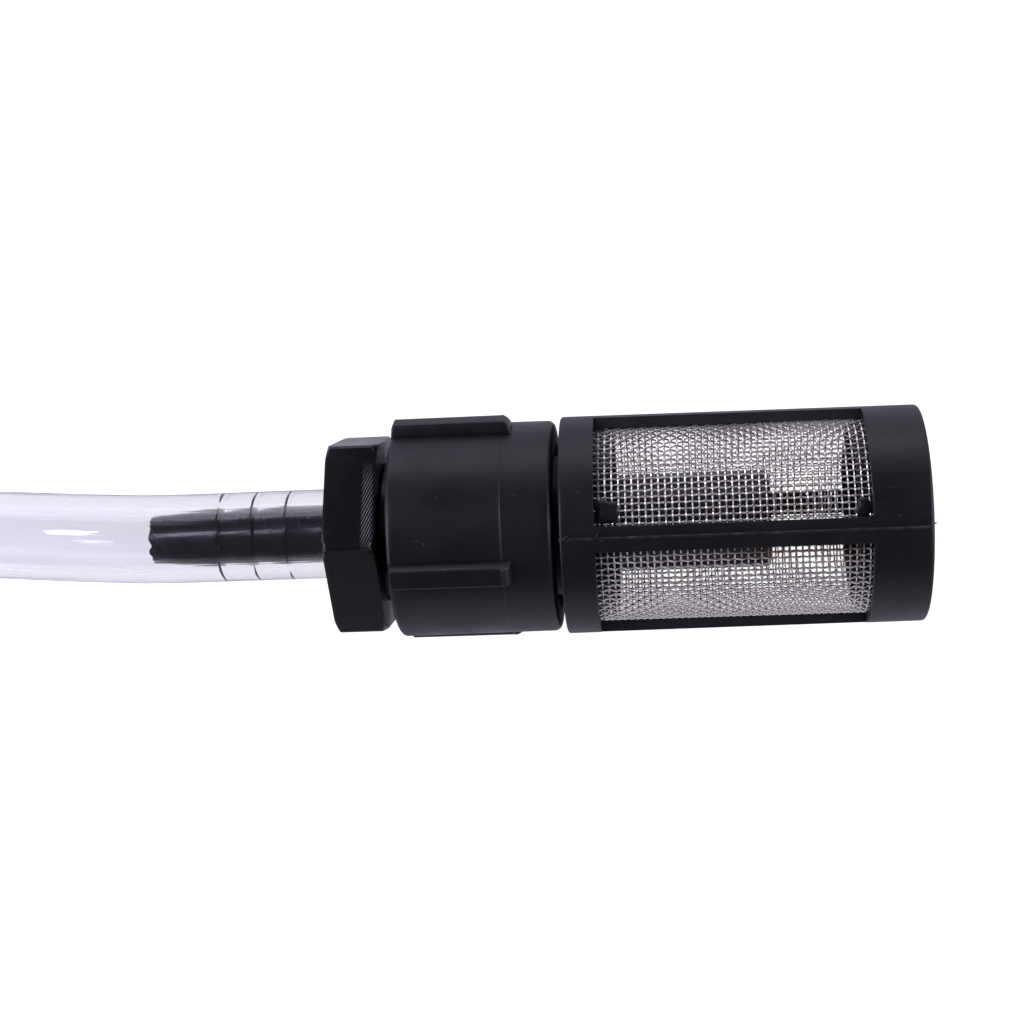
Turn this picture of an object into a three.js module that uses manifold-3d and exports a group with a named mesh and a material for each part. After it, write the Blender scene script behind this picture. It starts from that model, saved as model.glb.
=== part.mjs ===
// Suction strainer of a hand pump water filter: a hose on a barbed fitting, a screwed coupling, and a caged
// steel screen with a sprung non-return valve inside. Millimetres, +Z up, the filter's axis along X,
// closed end towards +X. Distances called u run along the axis from the hexagon's hose-side face.
import * as THREE from "three";
import { mergeVertices } from "three/addons/utils/BufferGeometryUtils.js";
import Module from "manifold-3d";

const wasm = await Module();
wasm.setup();

// Driving dimensions
const totalLength = 101.9; // barb tip to closed end
const barb = { tip: -25.2, tipR: 3.15, ridgeR: 3.95, neckR: 3.5, shankR: 3.8, boreR: 2.1,
  ridges: [-15.8, -11.2, -6.6] };
const hex = { end: 6.7, cornerR: 14.2, chamfer: 0.8, cornerAt: -7 };
const stub = { end: 13.3, boreR: 6.5, boreFrom: 2.6 };
const thread = { pitch: 1.814, male: { rootR: 9.2, crestR: 10.25 }, female: { rootR: 10.6, crestR: 9.45 },
  crestWidth: 0.35, flank: 0.52, perTurn: 18, fadeTurns: 0.15 };
const coupling = { from: 8.2, to: 29.45, hoseEndR: 14.1, strainerEndR: 13.95, edge: 0.9, chamfer: 0.4,
  shoulder: [15.9, 17.7], holeR: 5.5 };
const gripRib = { count: 4, firstAt: -23.6, r: 15.6, halfBase: 6.5, halfTop: 5, end: 24.1, roundness: 1.3 };
const washer = { thickness: 2, outerR: 9, innerR: 5.4 };
const cage = { from: 30.3, to: 76.7, hoseEndR: 14.38, closedEndR: 14.13, innerR: 12.9, edge: 0.7,
  windows: [34.7, 69.3], ribs: 4, firstRibAt: -7.7, ribDegrees: 13.3,
  spigotFrom: 21.8, spigotBoreR: 7, floor: 2, collarR: [11.2, 12.3], collars: [37.1, 67.8], web: [70.9, 71.7] };
const screen = { r: 12.6, wall: 0.3, from: 32.6, to: 70.6 };
const plug = { from: 72, face: 76.4, r: 12.6, skirtR: 10.9, disc: 2.2 };
const valve = { flange: [20.3, 21.5], flangeR: 9, r: 6.4, to: 57.2, boreR: 5, guideBoreR: 5.25, shoulderAt: 42.1,
  seatR: 3.4, seatFrom: 55.6, grooveAt: 25.2, grooveHalf: 0.75, grooveR: 5.55 };
const ring = { middleR: 6.22, sectionR: 0.52 }; // the valve body's O-ring
const guide = { from: 40.4, to: 41.9, r: 5.05, holeR: 1.5, slotR: [2.5, 4.2], slotDegrees: 76 };
const circlip = { from: 39.3, to: 40.2, r: [4.2, 5.05], gapDegrees: 50 };
const poppet = { discR: 4.35, disc: [52.7, 54.3], noseR: 2.5, noseTo: 56.1, stemR: 1.15, stemFrom: 36.7 };
const seal = { r: [2.7, 4.35], from: 54.5, to: 55.35 };
const spring = { from: 42.4, to: 52.4, middleR: 2.9, wireR: 0.32, turns: 6 };
const hose = { r: 6, boreR: 4, sides: 12, slack: 0.25 };
const coil = { x: -155, y: -65, innerTurnR: 54, outerTurnR: 66, lift: 1.6 };
const tie = { width: 4.8, thickness: 1.3, gap: 0.3, tailTo: 30, head: [56, 64], headHeight: 4, at: [100, 260] };
const gap = 0.3; // between pieces that touch

const hexFaceX = -totalLength / 2 - barb.tip; // u = 0 in the part's frame
const ribCornerDegrees = 180 - (gripRib.firstAt + 180) - gripRib.halfTop; // lowest corner, from straight down
const axisZ = gripRib.r * Math.cos(THREE.MathUtils.degToRad(ribCornerDegrees));
const round = 36; // sides of a turned piece

// The hose's way from the fitting to the coil, and from the coil to its free end
const routeOut = [
  [-25.75, 0, 14.79], [-34, 0, 14.79], [-42, 0, 14.79], [-49, 0.03, 14.79], [-54, 0.18, 14.78], [-60, 0.52, 14.63],
  [-66, 0.92, 14.18], [-72, 1.33, 13.42], [-78, 1.65, 12.42], [-84, 1.84, 11.28], [-90, 1.88, 10.13],
  [-96, 1.78, 9.1], [-102, 1.58, 8.3], [-108, 1.36, 7.83], [-114, 1.17, 7.63], [-124, 1.02, 7.6], [-138, 1, 7.6],
];
const routeEnd = [
  [-140, -131, 19.6], [-134, -131, 19.6], [-128, -131, 19.26], [-122, -131, 18.26], [-116, -131, 16.71],
  [-110, -131, 14.76], [-104, -131, 12.62], [-98, -131, 10.5], [-92, -131, 8.6], [-86, -131, 7.13],
  [-80, -131, 6.24], [-76, -131, 6], [-73, -131, 6],
];

const radians = THREE.MathUtils.degToRad;

// Solids

// A closed three.js geometry as a solid with its faces pointing out
function solid(geometry) {
  const bare = geometry.clone();
  for (const name of Object.keys(bare.attributes)) {
    if (name !== "position") bare.deleteAttribute(name);
  }
  const merged = mergeVertices(bare, 1e-4);
  const at = merged.attributes.position;
  const corners = [0, 1, 2].map(() => new THREE.Vector3());
  let kept = [];
  let volume = 0;
  for (let i = 0; i < merged.index.count; i += 3) {
    const tri = [0, 1, 2].map((k) => merged.index.getX(i + k));
    if (new Set(tri).size < 3) continue;
    tri.forEach((v, k) => corners[k].fromBufferAttribute(at, v));
    volume += corners[0].dot(corners[1].cross(corners[2]));
    kept.push(tri);
  }
  if (volume < 0) kept = kept.map(([a, b, c]) => [a, c, b]);
  return new wasm.Manifold(new wasm.Mesh({
    numProp: 3,
    vertProperties: new Float32Array(at.array),
    triVerts: new Uint32Array(kept.flat()),
  }));
}

// A closed outline of [u, r] points turned about the axis
function turned(outline, sides = round) {
  const points = [...outline, outline[0]].map(([u, r]) => new THREE.Vector2(r, u));
  return solid(new THREE.LatheGeometry(points, sides).rotateZ(-Math.PI / 2));
}

// A ring or disc from u0 to u1 between two radii
function disc(u0, u1, outerR, innerR = 0, sides = round) {
  return turned([[u0, innerR], [u0, outerR], [u1, outerR], [u1, innerR]], sides);
}

// A shape drawn in the plane across the axis, with x to +Y and y to +Z, pushed from u0 to u1
function prism(shape, u0, u1) {
  const pushed = new THREE.ExtrudeGeometry(shape, { depth: u1 - u0, bevelEnabled: false, curveSegments: 24 });
  const across = new THREE.Matrix4().makeBasis(
    new THREE.Vector3(0, 1, 0), new THREE.Vector3(0, 0, 1), new THREE.Vector3(1, 0, 0));
  return solid(pushed.applyMatrix4(across).translate(u0, 0, 0));
}

// A point across the axis at an angle in degrees from +Z towards +Y
const around = (r, degrees) => new THREE.Vector2(r * Math.sin(radians(degrees)), r * Math.cos(radians(degrees)));

// A sector of a ring, cut between two angles
function sector(innerR, outerR, fromDegrees, toDegrees) {
  const steps = Math.max(2, Math.round((toDegrees - fromDegrees) / 9));
  const angles = Array.from({ length: steps + 1 }, (_, i) => fromDegrees + (i / steps) * (toDegrees - fromDegrees));
  const outer = angles.map((a) => around(outerR, a));
  const inner = angles.map((a) => around(innerR, a)).reverse();
  return new THREE.Shape([...outer, ...inner]);
}

// A right-hand screw thread's ridge: a strip in radius and u, wound into a helix that fades at both ends
function threadRidge({ rootR, crestR }, from, turns) {
  const depth = Math.abs(crestR - rootR);
  const out = Math.sign(crestR - rootR);
  const buried = 0.25;
  const halfCrest = thread.crestWidth / 2;
  const halfRoot = halfCrest + thread.flank * (depth + buried);
  const strip = new THREE.Shape([
    new THREE.Vector2(-buried, -halfRoot), new THREE.Vector2(depth, -halfCrest),
    new THREE.Vector2(depth, halfCrest), new THREE.Vector2(-buried, halfRoot),
  ]);
  const ridge = new THREE.ExtrudeGeometry(strip, {
    depth: turns, steps: Math.round(turns * thread.perTurn), bevelEnabled: false });
  const at = ridge.attributes.position;
  for (let i = 0; i < at.count; i++) {
    const turn = at.getZ(i);
    const height = at.getX(i);
    const fade = Math.min(1, turn / thread.fadeTurns, (turns - turn) / thread.fadeTurns);
    const r = rootR + out * (height > 0 ? -buried * (1 - fade) + height * fade : height);
    const spot = around(r, -360 * turn);
    at.setXYZ(i, from + turn * thread.pitch + at.getY(i), spot.x, spot.y);
  }
  return solid(ridge);
}

const union = (first, ...others) => others.reduce((whole, next) => whole.add(next), first);
const cut = (first, ...others) => others.reduce((whole, next) => whole.subtract(next), first);

// Pieces

function barbFitting() {
  const flare = barb.ridges.flatMap((u) => [[u, barb.ridgeR], [u + 0.35, barb.neckR]]);
  flare[flare.length - 1] = [barb.ridges.at(-1) + 0.35, barb.shankR];
  const nozzle = turned([
    [barb.tip, 0], [barb.tip, barb.tipR], ...flare, [1, barb.shankR], [1, 0],
  ], 24);
  const corners = Array.from({ length: 6 }, (_, i) => around(hex.cornerR, hex.cornerAt + 60 * i));
  const chamfers = turned([
    [0, 0], [0, hex.cornerR - hex.chamfer], [hex.chamfer, hex.cornerR + 0.05],
    [hex.end - hex.chamfer, hex.cornerR + 0.05], [hex.end, hex.cornerR - hex.chamfer], [hex.end, 0],
  ]);
  const nut = prism(new THREE.Shape(corners), 0, hex.end).intersect(chamfers);
  const spigot = turned([
    [hex.end - 1, 0], [hex.end - 1, thread.male.rootR], [stub.end - 0.5, thread.male.rootR],
    [stub.end, thread.male.rootR - 0.5], [stub.end, 0],
  ]);
  const ridge = threadRidge(thread.male, hex.end + 1, 2.75);
  const bore = disc(barb.tip - 1, stub.boreFrom + 1, barb.boreR, 0, 24);
  const chamber = disc(stub.boreFrom, stub.end + 1, stub.boreR);
  return cut(union(nozzle, nut, spigot, ridge), bore, chamber);
}

function couplingBody() {
  const c = coupling;
  const edge = Array.from({ length: 4 }, (_, i) => {
    const a = (i / 3) * (Math.PI / 2);
    return [c.to - c.edge * (1 - Math.sin(a)), c.strainerEndR - c.edge * (1 - Math.cos(a))];
  });
  const shell = turned([
    [c.from, thread.female.rootR], [c.from, c.hoseEndR - c.chamfer], [c.from + c.chamfer, c.hoseEndR], ...edge,
    [c.to, thread.female.rootR], [c.shoulder[1], thread.female.rootR], [c.shoulder[1], c.holeR],
    [c.shoulder[0], c.holeR], [c.shoulder[0], thread.female.rootR],
  ]);
  const g = gripRib;
  const rounded = Array.from({ length: 4 }, (_, i) => {
    const a = (i / 3) * (Math.PI / 2);
    return [g.end - g.roundness * (1 - Math.sin(a)), g.r - g.roundness * (1 - Math.cos(a))];
  });
  const ribRing = turned([
    [c.from + 0.3, 13], [c.from + 0.3, g.r - 0.3], [c.from + 0.6, g.r], ...rounded, [g.end, 13],
  ], 72);
  const wedges = Array.from({ length: g.count }, (_, i) => {
    const middle = g.firstAt + (360 / g.count) * i;
    const outline = [[13, -g.halfBase], [c.hoseEndR, -g.halfBase], [g.r + 0.2, -g.halfTop],
      [g.r + 0.2, g.halfTop], [c.hoseEndR, g.halfBase], [13, g.halfBase]];
    return prism(new THREE.Shape(outline.map(([r, a]) => around(r, middle + a))), c.from, g.end + 1);
  });
  const ribs = union(...wedges).intersect(ribRing);
  const ridges = [
    threadRidge(thread.female, hex.end + 1 + thread.pitch / 2, 2.75),
    threadRidge(thread.female, cage.spigotFrom + 0.8 + thread.pitch / 2, 3.25),
  ];
  return union(shell, ribs, ...ridges);
}

const flatWasher = (from) => disc(from, from + washer.thickness, washer.outerR, washer.innerR);

function strainerCage() {
  const c = cage;
  const barrel = turned([
    [c.from, c.spigotBoreR], [c.from, c.hoseEndR - 0.4], [c.from + 0.4, c.hoseEndR],
    [c.to - c.edge, c.closedEndR], [c.to, c.closedEndR - c.edge], [c.to, c.innerR],
    [c.web[1], c.innerR], [c.web[1], c.collarR[0]], [c.collars[1], c.collarR[0]], [c.collars[1], c.collarR[1]],
    [c.web[0], c.collarR[1]], [c.web[0], c.innerR], [c.from + c.floor, c.innerR],
    [c.from + c.floor, c.collarR[1]], [c.collars[0], c.collarR[1]], [c.collars[0], c.collarR[0]],
    [c.from + c.floor, c.collarR[0]], [c.from + c.floor, c.spigotBoreR],
  ]);
  const windowDegrees = 360 / c.ribs - c.ribDegrees;
  const windows = Array.from({ length: c.ribs }, (_, i) => {
    const start = c.firstRibAt + c.ribDegrees / 2 + (360 / c.ribs) * i;
    return prism(sector(c.collarR[1] + 0.2, c.hoseEndR + 1, start, start + windowDegrees), ...c.windows);
  });
  const tube = turned([
    [c.spigotFrom, c.spigotBoreR], [c.spigotFrom, thread.male.rootR - 0.5], [c.spigotFrom + 0.5, thread.male.rootR],
    [c.from + 0.5, thread.male.rootR], [c.from + 0.5, c.spigotBoreR],
  ]);
  const ridge = threadRidge(thread.male, c.spigotFrom + 0.8, 3.25);
  return union(cut(barrel, ...windows), tube, ridge);
}

const meshScreen = () => disc(screen.from, screen.to, screen.r + screen.wall / 2, screen.r - screen.wall / 2);

const endPlug = () => turned([
  [plug.from, plug.skirtR], [plug.from, plug.r], [plug.face, plug.r], [plug.face, 0],
  [plug.face - plug.disc, 0], [plug.face - plug.disc, plug.skirtR],
]);

function valveBody() {
  const v = valve;
  return turned([
    [v.flange[0], v.guideBoreR], [v.flange[0], v.flangeR], [v.flange[1], v.flangeR], [v.flange[1], v.r],
    [v.grooveAt - v.grooveHalf, v.r], [v.grooveAt - v.grooveHalf, v.grooveR],
    [v.grooveAt + v.grooveHalf, v.grooveR], [v.grooveAt + v.grooveHalf, v.r],
    [v.to - 0.6, v.r], [v.to, v.r - 0.6], [v.to, v.seatR], [v.seatFrom, v.seatR], [v.seatFrom, v.boreR - 0.15],
    [v.shoulderAt, v.boreR - 0.15], [v.shoulderAt, v.guideBoreR],
  ], 30);
}

function oRing() {
  const torus = new THREE.TorusGeometry(ring.middleR, ring.sectionR, 6, 24);
  return solid(torus.rotateY(Math.PI / 2).translate(valve.grooveAt, 0, 0));
}

function valveGuide() {
  const slots = [0, 120, 240].map((a) => prism(
    sector(...guide.slotR, a - guide.slotDegrees / 2, a + guide.slotDegrees / 2), guide.from - 1, guide.to + 1));
  return cut(disc(guide.from, guide.to, guide.r, guide.holeR), ...slots);
}

const retainingRing = () => prism(
  sector(...circlip.r, circlip.gapDegrees / 2, 360 - circlip.gapDegrees / 2), circlip.from, circlip.to);

function valvePoppet() {
  const p = poppet;
  return turned([
    [p.stemFrom, 0], [p.stemFrom, p.stemR], [p.disc[0], p.stemR], [p.disc[0], p.discR], [p.disc[1], p.discR],
    [p.disc[1], p.noseR], [p.noseTo - 0.5, p.noseR], [p.noseTo, p.noseR - 0.7], [p.noseTo, 0],
  ], 24);
}

class Helix extends THREE.Curve {
  getPoint(t, target = new THREE.Vector3()) {
    const spot = around(spring.middleR, -360 * spring.turns * t);
    const from = spring.from + spring.wireR;
    const to = spring.to - spring.wireR;
    return target.set(from + t * (to - from), spot.x, spot.y);
  }
}

function valveSpring() {
  const section = new THREE.Shape(Array.from({ length: 5 }, (_, i) => around(spring.wireR, 72 * i)));
  return solid(new THREE.ExtrudeGeometry(section, {
    steps: spring.turns * 12, bevelEnabled: false, extrudePath: new Helix() }));
}

// The hose: a polygon's ring pushed along part of its route
function hoseAlong(points, steps) {
  const polygon = (r) => Array.from({ length: hose.sides }, (_, i) => around(r, (-360 / hose.sides) * i));
  const section = new THREE.Shape(polygon(hose.r));
  section.holes.push(new THREE.Path(polygon(hose.boreR)));
  const route = new THREE.CatmullRomCurve3(points.map((p) => new THREE.Vector3(...p)));
  return solid(new THREE.ExtrudeGeometry(section, { steps, bevelEnabled: false, extrudePath: route }));
}

const sleeveEnd = -57;
const runFrom = -58; // the run's end faces tilt as it starts down, so it stands off the sleeve
const coilClearX = coil.x + 41; // where a tangent hose is clear of the coil's solid

function hoseOnBarb() {
  const clearR = (hose.boreR + hose.slack) / Math.cos(Math.PI / hose.sides);
  return disc(sleeveEnd - hexFaceX, -gap, hose.r, clearR, hose.sides).translate([hexFaceX, 0, axisZ]);
}

function between(points, x0, x1) {
  const line = new THREE.CatmullRomCurve3(points.map((p) => new THREE.Vector3(...p)));
  const spots = line.getPoints(400).filter((p) => p.x > Math.min(x0, x1) && p.x < Math.max(x0, x1));
  const every = Math.ceil(spots.length / 8);
  return spots.filter((_, i) => i % every === 0 || i === spots.length - 1).map((p) => p.toArray());
}

const hoseRun = () => hoseAlong(between(routeOut, runFrom, coilClearX + 0.5), 7);
const hoseFreeEnd = () => hoseAlong(between(routeEnd, coilClearX, routeEnd.at(-1)[0] + 0.01), 5);

function hoseCoil() {
  const [inner, outer] = [coil.innerTurnR - hose.r, coil.outerTurnR + hose.r];
  const height = 4 * hose.r;
  const outline = [[inner, 0], [outer, 0], [outer, height], [inner, height], [inner, 0]];
  const lathe = new THREE.LatheGeometry(outline.map(([r, z]) => new THREE.Vector2(r, z)), 40);
  return solid(lathe.rotateX(Math.PI / 2).translate(coil.x, coil.y, coil.lift));
}

// A cable tie round the coil's four strands: drawn as seen along the hose, radius to x and height to y
function coilTie(degrees) {
  const rect = (x0, x1, y0, y1) => [[x0, y0], [x1, y0], [x1, y1], [x0, y1]].map((p) => new THREE.Vector2(...p));
  const [x0, x1] = [coil.innerTurnR - hose.r - tie.gap, coil.outerTurnR + hose.r + tie.gap];
  const [y0, y1] = [coil.lift - tie.gap, coil.lift + 4 * hose.r + tie.gap];
  const band = new THREE.Shape(rect(x0 - tie.thickness, x1 + tie.thickness, y0 - tie.thickness, y1 + tie.thickness));
  band.holes.push(new THREE.Path(rect(x0, x1, y0, y1)));
  const top = y1 + tie.thickness;
  const head = new THREE.Shape(rect(...tie.head, top - 0.5, top + tie.headHeight));
  const tail = new THREE.Shape(rect(tie.tailTo, tie.head[0] + 1, top + 1.2, top + 1.2 + tie.thickness));
  const push = (shape, width) => solid(new THREE.ExtrudeGeometry(shape, { depth: width, bevelEnabled: false })
    .translate(0, 0, -width / 2).rotateX(Math.PI / 2).rotateZ(radians(degrees)).translate(coil.x, coil.y, 0));
  return union(push(band, tie.width), push(head, tie.width + 2), push(tail, tie.width));
}

// Materials, from the colours the real pieces have
const finish = (color, roughness, metalness = 0) => new THREE.MeshStandardMaterial({ color, roughness, metalness });
const blackPlastic = finish("#1b1b1d", 0.45);
const steel = finish("#b9b6b0", 0.3, 1);
const rubber = finish("#161616", 0.8);
const clearHose = finish("#d9d6dc", 0.15);
clearHose.transparent = true;
clearHose.opacity = 0.4;
const tieNylon = finish("#e6e2d8", 0.5);

const part = new THREE.Group();
const filter = new THREE.Group();
filter.position.set(hexFaceX, 0, axisZ);
part.add(filter);

function add(name, body, material, parent = filter) {
  const made = body.getMesh();
  const stride = made.numProp;
  const spots = new Float32Array(made.vertProperties.length / stride * 3);
  for (let i = 0; i < spots.length / 3; i++) {
    for (let k = 0; k < 3; k++) spots[3 * i + k] = made.vertProperties[stride * i + k];
  }
  const geometry = new THREE.BufferGeometry();
  geometry.setAttribute("position", new THREE.BufferAttribute(spots, 3));
  geometry.setIndex(new THREE.BufferAttribute(new Uint32Array(made.triVerts), 1));
  geometry.computeVertexNormals();
  const mesh = new THREE.Mesh(geometry, material);
  mesh.name = name;
  parent.add(mesh);
}

add("barb_fitting", barbFitting(), blackPlastic);
add("hose_side_washer", flatWasher(stub.end + gap), rubber);
add("coupling", couplingBody(), blackPlastic);
add("strainer_side_washer", flatWasher(coupling.shoulder[1] + gap), rubber);
add("strainer_cage", strainerCage(), blackPlastic);
add("mesh_screen", meshScreen(), steel);
add("end_plug", endPlug(), blackPlastic);
add("valve_body", valveBody(), blackPlastic);
add("valve_body_o_ring", oRing(), rubber);
add("valve_guide", valveGuide(), blackPlastic);
add("guide_retaining_ring", retainingRing(), steel);
add("valve_spring", valveSpring(), steel);
add("valve_poppet", valvePoppet(), blackPlastic);
add("poppet_seal", disc(seal.from, seal.to, seal.r[1], seal.r[0], 24), rubber);
add("hose_on_barb", hoseOnBarb(), clearHose, part);
add("hose_run", hoseRun(), clearHose, part);
add("hose_coil", hoseCoil(), clearHose, part);
add("hose_free_end", hoseFreeEnd(), clearHose, part);
tie.at.forEach((degrees, i) => add(`coil_tie_${i + 1}`, coilTie(degrees), tieNylon, part));

export default part;
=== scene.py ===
import math

import bmesh
import bpy
import numpy as np
from mathutils import Matrix, Vector, noise


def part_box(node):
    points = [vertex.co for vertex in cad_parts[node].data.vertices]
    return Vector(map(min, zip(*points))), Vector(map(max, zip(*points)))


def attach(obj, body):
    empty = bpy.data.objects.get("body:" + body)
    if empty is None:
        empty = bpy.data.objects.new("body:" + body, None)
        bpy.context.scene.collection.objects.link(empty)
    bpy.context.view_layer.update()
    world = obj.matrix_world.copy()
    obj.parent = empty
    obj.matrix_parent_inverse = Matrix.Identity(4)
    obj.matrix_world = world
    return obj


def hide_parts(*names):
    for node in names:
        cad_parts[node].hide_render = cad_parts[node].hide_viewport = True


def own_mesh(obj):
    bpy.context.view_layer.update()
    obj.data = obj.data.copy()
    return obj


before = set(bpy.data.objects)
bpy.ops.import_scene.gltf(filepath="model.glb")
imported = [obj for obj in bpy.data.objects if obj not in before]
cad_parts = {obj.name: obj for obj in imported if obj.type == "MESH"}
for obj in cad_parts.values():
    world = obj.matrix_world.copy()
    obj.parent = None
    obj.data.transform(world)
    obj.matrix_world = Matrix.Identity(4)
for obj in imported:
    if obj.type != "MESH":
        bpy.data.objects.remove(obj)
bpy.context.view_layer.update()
mm = 0.001

# The filter's own places, from the frame: u runs along its axis from the hexagon's hose side
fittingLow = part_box("barb_fitting")[0]
cageLow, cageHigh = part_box("strainer_cage")
barbLength = 25.2 * mm
hexFaceX = fittingLow.x + barbLength
axisZ = (cageLow.z + cageHigh.z) / 2


# ---- small tools shared by every piece

def linear(value):
    # sRGB hex to the linear colour that Blender works in
    parts = [int(value[i:i + 2], 16) / 255 for i in (1, 3, 5)]
    return [c / 12.92 if c <= 0.04045 else ((c + 0.055) / 1.055) ** 2.4 for c in parts] + [1.0]


def addNode(tree, kind, settings=None, inputs=None):
    # adds a node, sets its settings, and fills or links its inputs
    node = tree.nodes.new(kind)
    for name, value in (settings or {}).items():
        setattr(node, name, value)
    for name, value in (inputs or {}).items():
        if isinstance(value, bpy.types.NodeSocket):
            tree.links.new(value, node.inputs[name])
        else:
            node.inputs[name].default_value = value
    return node


def newMaterial(name):
    material = bpy.data.materials.new(name)
    material.use_nodes = True
    tree = material.node_tree
    tree.nodes.clear()
    return material, tree


def closeMaterial(tree, shader):
    addNode(tree, "ShaderNodeOutputMaterial", None, {"Surface": shader})


def placed(u, r, angle):
    # a point of the filter: u and r in mm, angle in degrees from +Z towards +Y
    a = math.radians(angle)
    return (hexFaceX + u * mm, r * mm * math.sin(a), axisZ + r * mm * math.cos(a))


def newPiece(name, mesh, material, sharpAngle=32):
    mesh.materials.clear()
    mesh.materials.append(material)
    mesh.shade_smooth()
    mesh.set_sharp_from_angle(angle=math.radians(sharpAngle))
    piece = bpy.data.objects.new(name, mesh)
    bpy.context.scene.collection.objects.link(piece)
    return piece


def standFor(piece, body, node):
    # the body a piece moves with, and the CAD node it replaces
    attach(piece, body)
    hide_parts(node)


def meshFrom(name, points, faces):
    mesh = bpy.data.meshes.new(name)
    mesh.from_pydata([tuple(p) for p in points], [], faces)
    work = bmesh.new()
    work.from_mesh(mesh)
    bmesh.ops.remove_doubles(work, verts=work.verts, dist=1e-7)
    bmesh.ops.recalc_face_normals(work, faces=work.faces)
    work.to_mesh(mesh)
    work.free()
    return mesh


def rounded(corners, steps=4):
    # an outline of (u, r, corner radius) with its corners made arcs; a fourth value is kept as a tag
    line = []
    for i, corner in enumerate(corners):
        u, r, size = corner[:3]
        tag = corner[3] if len(corner) > 3 else None
        if size <= 0:
            line.append((u, r, tag))
            continue
        here = Vector((u, r))
        before = Vector(corners[i - 1][:2]) - here
        after = Vector(corners[(i + 1) % len(corners)][:2]) - here
        half = before.angle(after) / 2
        reach = min(size / math.tan(half), 0.49 * before.length, 0.49 * after.length)
        start, end = here + before.normalized() * reach, here + after.normalized() * reach
        for k in range(steps + 1):
            t = k / steps
            spot = start * (1 - t) ** 2 + here * 2 * t * (1 - t) + end * t * t
            line.append((spot.x, spot.y, tag))
    return line


def evenAngles(count, extra=()):
    return sorted({round(360 * i / count, 4) for i in range(count)} | {round(a % 360, 4) for a in extra})


def turnedGrid(outline, angles, shape=None):
    # rings of points round the axis; shape(u, r, tag, angle) may move each one
    points, rings = [], []
    for u, r, tag in outline:
        if r < 1e-6:
            points.append(placed(u, 0, 0))
            rings.append([len(points) - 1] * len(angles))
            continue
        ring = []
        for angle in angles:
            du, dr, da = shape(u, r, tag, angle) if shape else (u, r, angle)
            points.append(placed(du, dr, da))
            ring.append(len(points) - 1)
        rings.append(ring)
    return points, rings


def bandFaces(first, second):
    faces = []
    count = len(first)
    for j in range(count):
        k = (j + 1) % count
        face = [first[j], first[k], second[k], second[j]]
        face = [v for i, v in enumerate(face) if v != face[i - 1]]
        if len(face) > 2:
            faces.append(face)
    return faces


def turnedPiece(name, outline, material, angles=None, shape=None, sharpAngle=32):
    angles = angles or evenAngles(96)
    points, rings = turnedGrid(outline, angles, shape)
    faces = []
    for i, ring in enumerate(rings):
        faces += bandFaces(ring, rings[(i + 1) % len(rings)])
    return newPiece(name, meshFrom(name, points, faces), material, sharpAngle)


def ease(t):
    t = min(1, max(0, t))
    return (1 - math.cos(math.pi * t)) / 2


def smoothLine(points, spacing):
    # Catmull-Rom through the points, then points at even spacing
    p = np.array(points, float)
    p = np.vstack([2 * p[0] - p[1], p, 2 * p[-1] - p[-2]])
    dense = []
    for i in range(1, len(p) - 2):
        for t in np.linspace(0, 1, 24, endpoint=False):
            a, b, c, d = p[i - 1:i + 3]
            dense.append(0.5 * (2 * b + (c - a) * t + (2 * a - 5 * b + 4 * c - d) * t * t
                                + (3 * b - 3 * c + d - a) * t ** 3))
    dense.append(p[-2])
    dense = np.array(dense)
    along = np.r_[0, np.cumsum(np.linalg.norm(np.diff(dense, axis=0), axis=1))]
    count = max(2, round(along[-1] / spacing))
    marks = np.linspace(0, along[-1], count + 1)
    return np.stack([np.interp(marks, along, dense[:, k]) for k in range(3)], 1), along[-1]


def sweptRings(line, radius, sides):
    # rings of points round a line, carried along it without twist
    tangents = np.gradient(line, axis=0)
    tangents /= np.linalg.norm(tangents, axis=1)[:, None]
    side = np.cross(tangents[0], [0, 0, 1])
    side /= np.linalg.norm(side)
    turns = np.linspace(0, 2 * math.pi, sides, endpoint=False)
    rings = []
    for point, tangent in zip(line, tangents):
        side = side - tangent * side.dot(tangent)
        side /= np.linalg.norm(side)
        other = np.cross(tangent, side)
        rings.append([point + radius * (math.cos(t) * side + math.sin(t) * other) for t in turns])
    return rings


# ---- camera, floor and light

viewing = {
    "distance": 237.7 * mm, "footX": 18.7 * mm, "footY": 2.0 * mm, "aimX": -2.5 * mm, "aimY": 2.0 * mm,
    "tilt": 2.12, "lens": 62.86,
}


def addCamera(v):
    spot = Vector((v["footX"], v["footY"], axisZ + v["distance"]))
    back = (spot - Vector((v["aimX"], v["aimY"], axisZ))).normalized()
    tilt = math.radians(v["tilt"])
    up = Vector((math.sin(tilt), math.cos(tilt), 0))
    right = up.cross(back).normalized()
    up = back.cross(right)
    data = bpy.data.cameras.new("camera")
    data.lens = v["lens"]
    data.sensor_width = 36
    data.clip_start = 0.005
    camera = bpy.data.objects.new("camera", data)
    camera.matrix_world = Matrix.Translation(spot) @ Matrix((right, up, back)).transposed().to_4x4()
    bpy.context.scene.collection.objects.link(camera)
    bpy.context.scene.camera = camera


addCamera(viewing)

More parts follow.
